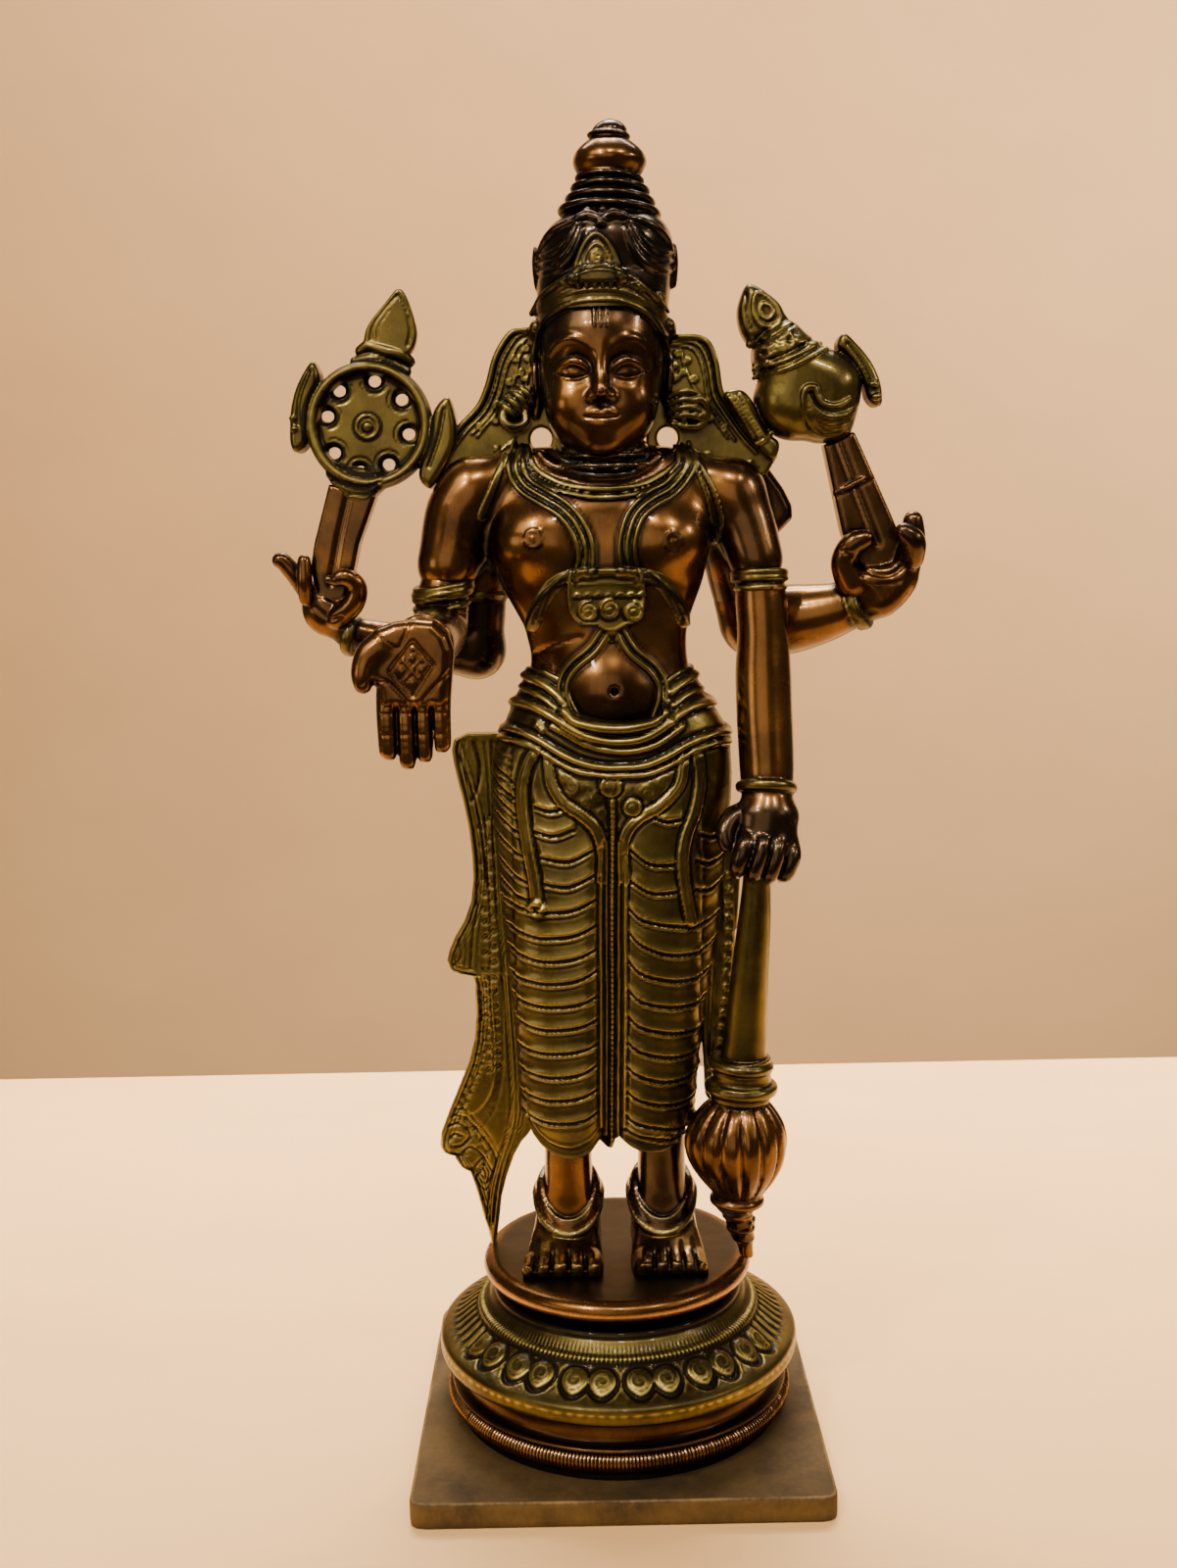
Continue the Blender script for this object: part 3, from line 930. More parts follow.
def makeChest():  # the brass that lies on the chest and back
    clay = Clay(chestSpec)
    torsoBody(clay)
    clay.band([(-25.6, 354), (-23.6, 346.4), (-17.2, 341.8), (-8.5, 338.9), (1.5, 337.9), (11.6, 339.2),
        (20, 342.9), (25, 347), (26, 352)], 1.35, 1.5)
    clay.band([(-28, 354), (-25.6, 345), (-18.6, 339.5), (-8.5, 336.2), (1.5, 335.2), (11.6, 336.5),
        (21.2, 340), (26.8, 345), (28, 351)], 1.2, 1.3)
    for line in (strapLeft, strapRight):
        cord(clay, line, 3.3, 0.5, 0.7, ((-2.5, 0.95), (0, 0.85), (2.5, 0.95)),
            ((-1.3, 0.42, 0.8, 0.3), (1.3, 0.42, 0.8, 0.3), (-4.1, 0.6, 0.7, 0.9), (4.1, 0.6, 0.7, 0.9)))
    for s, line in ((-1, [(-11.7, 309), (-17.6, 306.2), (-22, 300.6), (-25, 293.4)]),
            (1, [(10.6, 309.2), (18.1, 307), (23.3, 300.8), (26.6, 293.6)])):
        cord(clay, line, 2.9, 0.6, 0.6, ((-2.1, 1.0), (2.1, 1.0)),
            ((0, 0.5, 0.6, 0.6), (-3.9, 0.5, 0.6, 0.6), (3.9, 0.5, 0.6, 0.6)), (0.8, -0.7 * s))
    for dz in (0, 2.75):
        ring = [(-27, 354 - dz), (-24.6, 345.4 - dz), (-17.8, 340.6 - dz), (-8.5, 337.5 - dz),
            (1.5, 336.5 - dz), (11.6, 337.8 - dz), (20.6, 341.5 - dz), (26, 346 - dz), (27, 351.5 - dz)]
        clay.shade(ring, 0.45, share=0.9)
        ornamentLines.append((smooth([(x, z - 1.0 + dz * 0.3) for x, z in ring], 6), 0.8))
    plaque = [(-9.4, 311.4), (-4, 312), (5, 312), (10.6, 311.2), (13.2, 304), (12.6, 299), (11.6, 294.6),
        (9.1, 293.2), (6.2, 292.6), (4, 291.4), (1.5, 290.4), (-0.8, 291.6), (-3.1, 292.7), (-7.8, 293),
        (-10.6, 295.4), (-12.2, 299), (-12.8, 303.5)]
    clay.patch(plaque, 2.2, 2, 1.0)
    ornamentLines.append((np.array(plaque + plaque[:1], float), 1.3))
    for line, width in (([(-8.4, 308.2), (0.4, 308.5), (9.2, 308)], 0.4),
            ([(-10.6, 301.6), (1, 301.9), (11.6, 301.4)], 0.4)):
        clay.shade(line, width, share=0.95)
    for x, z in ((-6, 297.5), (1.2, 298.1), (9.1, 297.2)):
        clay.shade(arc(x, z, 3.9, 3.9, np.linspace(-2.9, 0, 9)), 0.5, share=0.9)
        clay.shade(arc(x, z, 2.0, 2.0, np.linspace(0, 6.3, 13)), 0.35, share=0.7)
    clay.strand([(-7.4, 310.4), (0.6, 310.8), (8.6, 310.2)], 1.15, 2.3, 4)
    clay.strand([(-11.6, 310.8), (-12.4, 304), (-12, 299), (-10.4, 295.4), (-7.8, 293.4), (-3.1, 293.1),
        (1.5, 291), (6.2, 293), (9.1, 293.6), (11.4, 295), (12.4, 299), (12.6, 304), (11.6, 310.6)], 0.7,
        2.0, 4)
    clay.strand([(-9.4, 306.4), (0.6, 306.8), (10.2, 306.2)], 0.6, 2.0, 4)
    for x, z, hand in ((-6, 297.5, 1), (1.2, 298.1, 1), (9.1, 297.2, -1)):
        clay.strand(spiral(x, z, 3.3, 1.9, 80, hand), 0.62, 2.5, 1)
        y = clay.frontOf([(x, z)])[0][1]
        clay.add(egg((x, y - 2.4, z), 0.95), 0, True)
    for i in range(7):
        clay.strand([(-10.6 + 3.6 * i, 302.6), (-9.6 + 3.6 * i, 303.4), (-8.4 + 3.6 * i, 302.6)], 0.5, 2.3,
            3)
    for line in ([(-0.3, 291), (-4.8, 284.6), (-11.3, 279.3), (-14.6, 274.5), (-15.1, 268.9), (-12.8, 262),
            (-13, 258)], [(4.1, 291), (8.7, 283.6), (15.1, 278), (18.6, 272.3), (18.5, 266.7), (16.6, 261),
            (17, 257)]):
        cord(clay, line, 1.9, 0.5, 0.7, ((-1.3, 0.95), (1.3, 0.95)),
            ((0, 0.35, 0.8, 0.6), (-3.3, 0.5, 0.6, 0.6), (3.3, 0.5, 0.6, 0.6)))
    clay.band([(1.8, 292.6), (1.9, 288.6)], 2.4, 2.0, 2)
    leaf = [(-33.4, 351), (-36.6, 344), (-39.8, 336.6), (-42.6, 330.4), (-42, 328.6), (-39.6, 329.6),
        (-37.2, 335.6), (-34.4, 343), (-31.6, 350)]
    clay.patch(leaf, 1.0, 6, 0.6)
    clay.strand(leaf, 0.6, 0.1, 3, 0, True)
    clay.strand([(-34, 348), (-37.6, 340), (-40.6, 332)], 0.7, 0.3, 3)
    clay.band([(31, 350), (34.4, 342.6), (37.4, 335.4), (39.4, 327.2), (38.4, 320)], 1.3, 1.3, 2, reach=7)
    clay.band([(28.6, 351), (32, 342), (35, 334), (36.8, 326)], 0.8, 0.9, 0, reach=6)
    for line in (strapLeft[:5], strapRight[:5]):  # the straps run over the shoulders and down the back
        clay.band([(x, z) for x, z in line], 3.0, 1.6, 3, side=1, reach=2)
    clay.band([(-14, 331), (0.6, 322), (15.5, 334)], 2.6, 1.5, 3, side=1, reach=2)
    clay.band([(0.6, 322), (0.7, 300), (0.9, 280)], 2.4, 1.4, 2, side=1, reach=2)
    clay.band([(-26, 350), (-17, 344.6), (0.6, 341.6), (18, 344.4), (26, 349)], 2.4, 1.6, 2, side=1,
        reach=0)
    return clay.mesh(lambda p: 0.3 * (p[:, 1] > 4), shell=1.3)


# front arms

givingSpec = {"name": "arm_with_open_palm", "cell": 0.74, "low": (-83, -67, 246), "high": (-42, 10, 313),
    "middle": -50}


def makeGivingArm():
    clay = Clay(givingSpec)
    clay.add(rope([(-55.4, -2.6, 306.4), (-56, -3, 301), (-57, -4.4, 293), (-57.8, -14, 290),
        (-58.4, -30, 289.6), (-59.4, -42, 288.6), (-60, -50, 287)], [8.2, 8.9, 9.4, 9.6, 9.2, 8.5, 7.4]), 2)
    clay.add([hoop((-55.5, -2.7, 306.9), (-0.15, -0.12, 1), 9.9, 1.1),
        hoop((-55.7, -2.8, 305.1), (-0.15, -0.12, 1), 10.2, 1.05),
        hoop((-55.9, -2.9, 303.4), (-0.15, -0.12, 1), 9.9, 1.0),
        hoop((-56.3, -3.2, 300), (-0.12, -0.12, 1), 9.5, 0.85)], 0.2, True)
    clay.add(hoop((-56.6, -3.6, 297.6), (-0.1, -0.12, 1), 9.4, 0.5), 0.3)
    clay.add(hoop((-59.4, -43, 288.4), (0, 1, 0.06), 9.0, 1.2), 0.6)
    clay.add(hoop((-59.3, -40.4, 288.6), (0, 1, 0.06), 9.0, 0.7), 0.4)
    palm = [(-76, 289.5), (-72.6, 294.6), (-67, 296.9), (-60, 297.6), (-54.4, 297), (-50, 292.6),
        (-48.3, 287.6), (-49.4, 277), (-50.2, 269), (-61, 268.4), (-72.4, 269), (-73, 276), (-75.6, 281)]
    clay.add(slab(palm, -54, 5.4, 4.0), 2)
    for x, top, tip, r in ((-69.9, 275, 256.4, 3.5), (-64.1, 275, 253.4, 3.6), (-58.6, 275, 255.2, 3.2),
            (-53.3, 275, 258.2, 3.2)):
        clay.add(rope([(x, -54.4, top), (x, -55.4, (top + tip) / 2 + 1), (x + 0.1, -55.4, tip)],
            [r, r, r * 0.94]), 0.4)
        for z in (268.5, 262):
            clay.engrave([(x - 2.2, z), (x, z - 0.5), (x + 2.2, z)], 0.35, 0.3)
    for x in (-67.05, -61.3, -55.9):
        clay.engrave([(x, 271), (x, 250)], 0.5, 1.0, curve=False)
    clay.add(rope([(-69.6, -54, 290), (-74.6, -56, 287), (-77, -57.6, 281.6), (-77, -58.2, 277.2)],
        [5, 4.4, 3.5, 2.7]), 2)
    clay.engrave([(-74.2, 283.8), (-75.6, 279.6), (-77.4, 277.4)], 0.4, 0.4)
    diamond = [(-61, 290.4), (-55, 283), (-61.4, 273.6), (-68.2, 281.6)]
    clay.engrave(diamond, 0.5, 1.0, closed=True, curve=False)
    for dx, dz in ((0, 3.4), (2.9, -0.2), (-0.2, -4.2), (-3.4, -0.6)):
        cx, cz = -61.3 + dx, 282.2 + dz
        square = [(cx, cz + 2.3), (cx + 2, cz), (cx, cz - 2.4), (cx - 2.1, cz)]
        clay.engrave(square, 0.35, 0.6, closed=True, curve=False)
    clay.engrave([(-73, 279), (-68.4, 277.6), (-64.4, 273.4), (-63, 270)], 0.45, 0.7)
    clay.engrave([(-49.8, 281), (-54, 277), (-58, 272.6), (-59.6, 270)], 0.45, 0.6)
    clay.engrave([(-72.4, 293), (-66, 288.6), (-63.6, 291.6), (-62, 296)], 0.6, 0.35)
    for x in (-70, -64.1, -58.4, -53.3):
        clay.engrave([(x - 2, 271.8), (x, 270.6), (x + 2, 271.8)], 0.35, 0.35)
    return clay.mesh(lambda p: 0.75 * fade(p[:, 1] + 46, 12) * (1 - fade(p[:, 2] - 294, 6)))


maceArmSpec = {"name": "arm_on_the_mace", "cell": 0.76, "low": (33, -35, 200), "high": (70, 9, 313),
    "middle": -12}


def makeMaceArm():
    clay = Clay(maceArmSpec)
    clay.add(rope([(52.9, -2.9, 307.6), (53.5, -3.6, 300), (54, -4.6, 288), (53.9, -5.4, 276),
        (54, -6.8, 264), (54.3, -9, 251), (54.4, -11.4, 241), (54.2, -13.6, 232)],
        [7.9, 8.7, 8.7, 9.4, 9.5, 9.4, 9.1, 8.4]), 2)
    clay.add([hoop((52.9, -2.9, 308.9), (-0.02, 0.08, 1), 9.0, 1.15, 1.1),
        hoop((53, -3, 306.8), (-0.02, 0.08, 1), 9.1, 1.0)], 0.2, True)
    clay.add(hoop((53.2, -3.2, 303.8), (-0.02, 0.08, 1), 8.9, 0.6), 0.3, True)
    clay.add(hoop((54, -12.9, 236), (0.06, 0.26, 1), 9.2, 1.45, 1.3), 0.3, True)
    clay.add(egg((53.6, -17.0, 226.4), (11.2, 8.6, 8.8)), 3)
    clay.add(egg((52.6, -19.6, 218.4), (11.4, 7.4, 7.6)), 4)
    knuckles = [((46.8, -20.4, 221.6), (45.4, -25.4, 218), (43.2, -26, 211.8), (42.6, -23, 208.4)),
        ((52, -21.2, 222), (51, -26.4, 217.6), (48.6, -27, 210), (48, -23.6, 206.6)),
        ((57, -20.6, 220.8), (56.4, -25.6, 216.4), (54.2, -26.2, 209.2), (53.6, -22.6, 205.8)),
        ((61.4, -18.4, 218.4), (61.4, -22.8, 214), (59.6, -23.6, 208.6), (58.8, -20.4, 205.8))]
    for row in knuckles:
        clay.add(rope(row, [2.9, 3.2, 2.9, 2.3]), 1.0)
    clay.add(rope([(46.8, -15.6, 228), (41.6, -18.8, 226.4), (38.9, -22, 222), (39.6, -23.6, 217.6)],
        [3.8, 3.5, 3.0, 2.4]), 0.8)
    for *_, (x, y, z) in knuckles:  # nails
        clay.add(egg((x, y - 2.2, z + 1.2), (1.5, 0.7, 1.7)), 0.2)
    clay.engrave([(49.0, 220), (48.0, 216), (45.6, 209)], 0.5, 0.6)
    clay.engrave([(54.2, 220), (53.4, 215), (51.2, 207.6)], 0.5, 0.6)
    clay.engrave([(59.2, 218), (58.8, 213), (56.8, 207)], 0.5, 0.6)
    return clay.mesh(lambda p: 0.95 * fade(234 - p[:, 2], 3))


# rear arms with their hands, and what they hold

rearLeftSpec = {"name": "rear_arm_with_discus", "cell": 0.8, "low": (-117, -11, 268),
    "high": (-33, 34, 347), "middle": 4}


def makeRearLeft():
    clay = Clay(rearLeftSpec)
    clay.add(rope([(-44.4, 17.6, 308), (-45, 19.4, 300), (-46, 21, 290), (-46.4, 21.6, 283)],
        [8.6, 9.6, 9.6, 9.9]), 2)
    clay.add(rope([(-46.4, 21.6, 283), (-60, 15.5, 284.6), (-75, 10, 287), (-90, 4.8, 291)],
        [9.9, 8.4, 6.8, 5.4]), 3)
    clay.add(hoop((-45, 19, 302), (-0.1, 0.12, 1), 9.7, 1.1, 1.8), 0.3, True)
    clay.add(hoop((-88.4, 5, 289.6), (0.93, -0.28, -0.28), 6.0, 1.3, 1.7), 0.3, True)
    clay.add(egg((-84.6, -0.2, 285.2), 2.2), 0.4, True)
    clay.add(egg((-97, 3.4, 298.6), (8.2, 5.8, 9.4), (0, -34, 0)), 3)
    clay.add(rope([(-101, 2, 302), (-105.8, 0, 310), (-110.4, -1, 315.8), (-112, -1.4, 316.4)],
        [3.4, 3.2, 2.8, 2.3]), 1)
    clay.add(rope([(-103, -2.4, 303), (-102.9, -4.8, 309), (-102.8, -4.6, 316)], [2.4, 2.6, 2.3]), 0.4)
    clay.add(rope([(-93, 0, 296), (-86.6, -2.6, 301.4), (-85, -4, 307), (-88.6, -5.4, 310.2),
        (-94, -5.8, 309.4)], [4, 3.6, 3.1, 2.9, 2.3]), 0.6)
    clay.add(rope([(-99, 8, 303), (-96, 10.6, 310), (-90, 9.6, 314)], [3, 2.9, 2.4]), 0.6)
    clay.engrave([(-98.6, 305), (-94, 302.4), (-90.4, 305)], 0.6, 0.7)
    clay.engrave([(-100, 300), (-95, 296), (-91, 297)], 0.7, 0.6)
    stem = [(-94, 342), (-100, 321.6), (-101.6, 313), (-99, 302), (-90, 301), (-86.6, 312), (-84.4, 321.3),
        (-77.8, 338)]
    clay.add(slab(stem, 4, 5, 1.6))
    clay.engrave([(-86.6, 340), (-91, 324), (-94.4, 308)], 1.3, 0.9, -1, 4, curve=False)

    def dull(p):  # the upper arm, the stem and the palm
        x, y, z = p.T
        palm = (np.abs(z - 303) < 9) * (x > -100) * (x < -90)
        return fade(x + 62, 8) * 0.95 + 0.4 * fade(z - 316, 6) + 0.5 * palm

    return clay.mesh(dull)


discusSpec = {"name": "discus_with_flames", "cell": 0.68, "low": (-109, -7, 332), "high": (-47, 15, 409),
    "middle": 3}


def makeDiscus():
    clay = Clay(discusSpec)
    cx, cz = -79.6, 361.4
    holeSpots = [(-89.5, 373.2), (-77.4, 376.2), (-68.4, 369.9), (-66.4, 358.4), (-73.6, 348.4),
        (-83.4, 346.3), (-92.0, 352.6), (-93.8, 364.8)]
    disc = circle(cx, cz, 20.4, 19.9, 60)
    holes = [circle(x, z, 2.1, 1.9, 14) for x, z in holeSpots]
    clay.add(slab(disc, 4, 2.2, 0.5, holes), 0, True)
    for x, z in holeSpots:  # scoops about the openings, front and back
        clay.add([egg((x + 0.05 * (x - cx), y, z + 0.05 * (z - cz)), (3.7, 2.6, 3.6)) for y in (1.2, 6.8)],
            0.5, cut=True)
        clay.engrave(arc(x, z, 4.5, 4.4, np.arctan2(cz - z, cx - x) + np.radians([-75, -40, 0, 40, 75])),
            0.4, 0.4)
    clay.add(hoop((cx, 4, cz), (0, 1, 0), 19.4, 2.3, 3.0), 0.4, True)
    for radius, width in ((16.9, 0.7), (22.0, 0.8)):
        clay.shade(arc(cx, cz, radius, radius * 0.98, np.linspace(0, 2 * math.pi, 50)), width, share=0.9,
            steps=1)
    for x, z in holeSpots:
        clay.shade(arc(x, z, 3.0, 3.0, np.linspace(0, 2 * math.pi, 18)), 0.8, share=0.75, steps=1)
    clay.shade(arc(cx - 0.7, cz - 0.4, 4.9, 4.9, np.linspace(0, 2 * math.pi, 20)), 0.5, share=0.7, steps=1)
    clay.add(hoop((cx - 0.7, 1.7, cz - 0.4), (0, 1, 0), 3.7, 0.55), 0.2, True)
    clay.add(egg((cx - 0.7, 1.8, cz - 0.4), (1.9, 1.5, 1.9)), 0.3, True)
    clay.add(hoop((cx - 0.7, 1.75, cz - 0.4), (0, 1, 0), 2.6, 0.3), 0.1, True)
    clay.add(hoop((cx - 0.7, 5.8, cz - 0.4), (0, 1, 0), 3.9, 0.6), 0.2, True)
    top = [(-68.6, 406.6), (-73, 401.9), (-78.5, 395.5), (-80.3, 391), (-79.3, 387.6), (-66.4, 384.6),
        (-62.4, 390.6), (-63.5, 398.1), (-66, 405)]
    clay.add(slab(smooth(top, 4, True), 4, 2.6, 1.1), 0, True)
    clay.add(rope([(-82, 4, 386.4), (-78.6, 3.4, 387.8), (-73.6, 3, 386), (-68.4, 3.2, 384.8),
        (-65.2, 4, 382.6)], [1.9, 2.3, 2.5, 2.3, 1.9]), 0.3, True)
    clay.add(rope([(-84, 4, 383), (-76, 3.2, 383.4), (-66.4, 4, 379.4)], [1.7, 2.4, 1.7]), 0.3, True)
    clay.engrave([(-78, 389.6), (-77, 394.6), (-72.8, 400), (-69, 404)], 0.4, 0.6)
    clay.engrave([(-65.6, 387.6), (-64.4, 393), (-65.6, 399.6), (-68.4, 404.4)], 0.4, 0.6)
    clay.engrave([(-76, 390), (-75, 394.6), (-71.4, 399.6)], 0.3, 0.35)
    left = [(-98.5, 382.6), (-103.2, 375.3), (-105.6, 368), (-106.4, 360.8), (-106.3, 354.9),
        (-104.2, 352.6), (-100.3, 356.3), (-98.6, 367.9), (-95.4, 376.6), (-96.6, 381.7)]
    clay.add(slab(smooth(left, 3, True), 4, 6.5, 2.4), 0, True)
    clay.engrave([(-98.6, 379.6), (-102.4, 371), (-103.4, 361)], 0.6, 0.9)
    clay.add([egg((-105, -1.6, 364), (1.4, 1.2, 1.2)), egg((-104.6, -1.8, 360.4), (1.6, 1.3, 1.3))], 0.3,
        True)
    right = [(-52.8, 370.4), (-57.1, 366), (-60.5, 354.3), (-63.1, 344.7), (-60.9, 340.4), (-57.9, 340.9),
        (-50.8, 352.6), (-49.6, 360.7), (-51, 368.1)]
    clay.add(slab(smooth(right, 3, True), 4, 6.5, 2.6), 0, True)
    clay.engrave([(-53.6, 366), (-55.6, 357), (-59.4, 347)], 0.6, 0.9)
    foot = [(-94.4, 347), (-92.6, 341.2), (-87.2, 336.4), (-81.4, 335.4), (-77.3, 338.6), (-74.8, 342),
        (-80, 347)]
    clay.add(slab(smooth(foot, 3, True), 4, 5.6, 2), 0, True)
    clay.engrave([(-92.4, 341), (-87, 338.4), (-80.6, 337.8), (-77, 339.8)], 0.4, 0.6)
    clay.engrave([(-93.4, 343.6), (-87, 341.2), (-80.6, 340.6), (-76, 342.4)], 0.4, 0.6)
    return clay.mesh()


rearRightSpec = {"name": "rear_arm_with_conch", "cell": 0.82, "low": (38, -13, 270),
    "high": (113, 37, 358), "middle": 4}


def makeRearRight():
    clay = Clay(rearRightSpec)
    clay.add(rope([(47.4, 18.6, 308), (49, 20.4, 301), (52, 21.2, 294), (54, 21.6, 291)],
        [8.6, 10, 11, 12]), 2)
    clay.add(rope([(54, 21.6, 291.4), (64, 16.5, 292), (77, 10.6, 294.4), (89, 6, 298)],
        [12.2, 12.4, 10.2, 7.4]), 3)
    clay.add(hoop((47.8, 19, 305), (0.1, 0.14, 1), 9.8, 1.1, 1.6), 0.3, True)
    clay.add(hoop((88.6, 6, 297.4), (0.86, -0.38, 0.36), 8.2, 1.3, 1.5), 0.3, True)
    clay.add(hoop((86.6, 6.8, 296.6), (0.86, -0.38, 0.36), 8.6, 0.6), 0.3, True)
    palm = [(80.6, 307), (86.7, 300.6), (92.2, 293), (99.6, 293.8), (107.6, 302.4), (109.3, 311.5),
        (108.4, 319), (98, 312.4), (88, 311)]
    clay.add(slab(smooth(palm, 3, True), 4, 8, 6.4), 3)
    clay.add(rope([(85, 0.6, 305), (82.2, -1.6, 312), (84.6, -3.6, 318), (89, -4.6, 320)],
        [5.2, 4.4, 4.0, 3.2]), 1)
    clay.add(rope([(104, 1, 311), (106, -1, 318.6), (105.8, -2, 325.8)], [5, 4.2, 3.4]), 1)
    clay.add(rope([(105.4, -4, 313), (105, -7.6, 318.6), (101.4, -8.2, 322)], [3.8, 3.9, 3.1]), 0.6)
    clay.add(rope([(101, 9.6, 308), (100, 12.4, 315.6), (96, 10.6, 321)], [4, 3.6, 3]), 0.8)
    clay.engrave([(85.9, 311.4), (92.2, 307.8), (98.5, 307.6), (103, 311)], 0.8, 1.0)
    clay.engrave([(88, 308), (94, 304.4), (101, 305)], 0.6, 0.5)
    clay.engrave([(80.6, 316), (84.4, 314.6)], 0.5, 0.5)
    stem = [(75.5, 352), (86, 356.4), (98.9, 328), (104.6, 314), (96, 308), (86.6, 311), (82, 321.9)]
    clay.add(slab(stem, 4, 4.6, 1.5))
    clay.engrave([(80.6, 353), (87.4, 335), (94, 318)], 1.1, 0.8, -1, 4, curve=False)
    clay.add(rope([(79.4, 1, 335.4), (85.4, -1.2, 338.4), (91.4, 1, 341.6)], 1.0), 0.3)
    clay.engrave([(79, 334), (85.8, 337), (92.4, 340)], 0.35, 0.4, curve=False)
    return clay.mesh(lambda p: 0.5 * fade(p[:, 2] - 308, 5) + 0.35 * (p[:, 1] > 12))


conchSpec = {"name": "conch_with_flames", "cell": 0.7, "low": (38, -14, 343), "high": (98, 22, 409),
    "middle": 4}


def makeConch():
    clay = Clay(conchSpec)
    body = [(53.6, 375.7), (51.9, 368.4), (53, 362), (56.8, 357), (63.2, 354), (69.7, 353.6), (75, 352.6),
        (83.6, 354.2), (87, 362), (88.6, 371.3), (86.6, 377.6), (81.4, 382.4), (74.8, 385.2), (67.6, 389),
        (63, 393), (57, 390), (52.8, 385)]
    clay.add(slab(smooth(body, 3, True), 4, 13, 11.5), 1, True)
    collar = [(53.2, 375.4), (62, 377.4), (69.9, 381.3), (75.4, 384.4), (70, 388.6), (64, 393.4),
        (57, 391), (51.8, 385.6), (51.8, 379)]
    clay.add(slab(smooth(collar, 3, True), 4, 12.2, 8.6), 0.8, True)
    for line in ([(52, 376.6), (61, 378.6), (69, 382.3), (74.6, 385.4)],
            [(51.6, 379.2), (60.4, 381), (67.6, 384.4), (72.4, 387.2)],
            [(51.6, 385.2), (58, 387.2), (64.6, 391.4)]):
        clay.engrave(line, 0.5, 0.9)
    for _ in range(26):  # punched ground of the collar
        x, z = 53.6 + 14 * chance.random(), 381.2 + 5.6 * chance.random()
        z += (x - 53.6) * 0.36
        clay.engrave(spiral(x, z, 0.9, 0.9, 360 * chance.random(), steps=7), 0.35, 0.45)
    clay.freeze()
    for t in (0, 0.25, 0.5, 0.75, 1):  # growth lines that sweep round from the mouth
        line = [(68.6 - 1.2 * t, 368.6 - 4.6 * t), (71.2 - 1.4 * t, 363.4 - 5.2 * t),
            (76.2 - 1.4 * t, 360.6 - 5.8 * t), (81.6 - 1.6 * t, 361.4 - 6 * t),
            (86.2 - 3.2 * t, 364.6 - 6.6 * t)]
        clay.strand(line, [0.5, 0.8, 0.9, 0.8, 0.5], 0.1, 5, 0.3)
    clay.strand([(67.4, 362.6), (67.2, 367.4), (68.4, 370), (71, 370.2), (72, 367.2), (74.2, 364.8),
        (78.4, 364.2), (83.4, 366.6)], [0.6, 1.0, 1.1, 1.0, 0.9, 0.9, 0.8, 0.5], 0.3, 5, 0.4)
    for line in ([(51.6, 374.6), (61, 376.4), (69.6, 380.2), (76, 383.6)],
            [(51.6, 377.4), (61, 379.2), (69, 382.9), (74.8, 386)]):
        clay.strand(line, 0.8, 0.2, 5, 0.2)
    bud = [(50.7, 406), (47.2, 400.7), (46.4, 395.1), (48, 389), (51.6, 385.8), (58.4, 387.6),
        (64.4, 391.8), (62.4, 396.1), (59.6, 400.4)]
    clay.add(slab(smooth(bud, 4, True), 4, 6.4, 4.6), 0.3, True)
    clay.add(rope([(50.6, 1.6, 386), (57, -0.8, 387.8), (64.2, 1.6, 392)], [1.6, 1.8, 1.6]), 0.3, True)
    clay.freeze()
    clay.strand([(52, 401.6), (51.4, 396), (53.6, 392), (57.6, 391.2), (60.4, 393.4), (59, 398.2),
        (54.6, 401.8)], 0.7, 0.2, 4, 0.2, True)
    clay.strand([(54.4, 398.6), (53.6, 395.4), (56, 393.6), (58, 395.2), (57, 398)], 0.5, 0.2, 4, 0.1, True)
    clay.engrave([(49.2, 402), (48.8, 396), (50.6, 390.4)], 0.4, 0.6)
    right = [(82.1, 389), (79.9, 384.6), (84.4, 379.5), (88.9, 372.5), (90.2, 367.5), (92.8, 364.6),
        (95.3, 365.5), (94.7, 372.4), (91.5, 379.4), (86.3, 385.7)]
    clay.add(slab(smooth(right, 3, True), 4, 6, 2.2), 0, True)
    clay.engrave([(83.4, 385), (88, 378.6), (91.6, 371)], 0.5, 0.8)
    clay.add([egg((92, -2.2, 371.6), (1.9, 1.3, 1.3)), egg((93, -2.2, 367.4), (1.9, 1.3, 1.3))], 0.3, True)
    left = [(41.6, 370), (46.6, 371), (50.8, 367.6), (56.6, 356.6), (60.4, 352.6), (58.4, 347),
        (54.2, 349.5), (47.4, 359.6), (42, 366)]
    clay.add(slab(smooth(left, 3, True), 4, 6.5, 2.4), 0, True)
    clay.freeze()
    for dx in (-3.2, -1.4, 0.5):
        clay.strand([(46.4 + dx, 369 + dx * 0.3), (49.6 + dx, 363), (54.6 + dx, 354.6)], 0.7, 0.1, 4)
    clay.strand([(52.4, 352.4), (56, 354.4), (58, 357)], 0.8, 0.2, 3)
    return clay.mesh(lambda p: 0.3 * (p[:, 1] > 8))


# the side pieces that frame the head, with the earrings

def leftEarring(clay):  # coiled
    for i in range(4):
        clay.add(hoop((-26.2 - 2.0 * i, -1.2, 369.8 - 1.9 * i), (0.62, 0.25, 0.55),
            3.9 + 0.25 * math.sin(i), 1.25), 0.25, True)
    clay.add(rope([(-32.4, -3, 366), (-33.6, -4.4, 362), (-30.4, -5.6, 359.2), (-26.4, -5.2, 360.4),
        (-26, -4, 364)], [1.9, 1.8, 1.7, 1.5, 1.2]), 0.3, True)
    clay.add(egg((-29.6, 0.8, 365.6), (3.6, 4.8, 4.4)), 0.4, True)
    clay.strand([(-30, 388), (-33.6, 382)], 0.7, 0.1, 3, side=1)


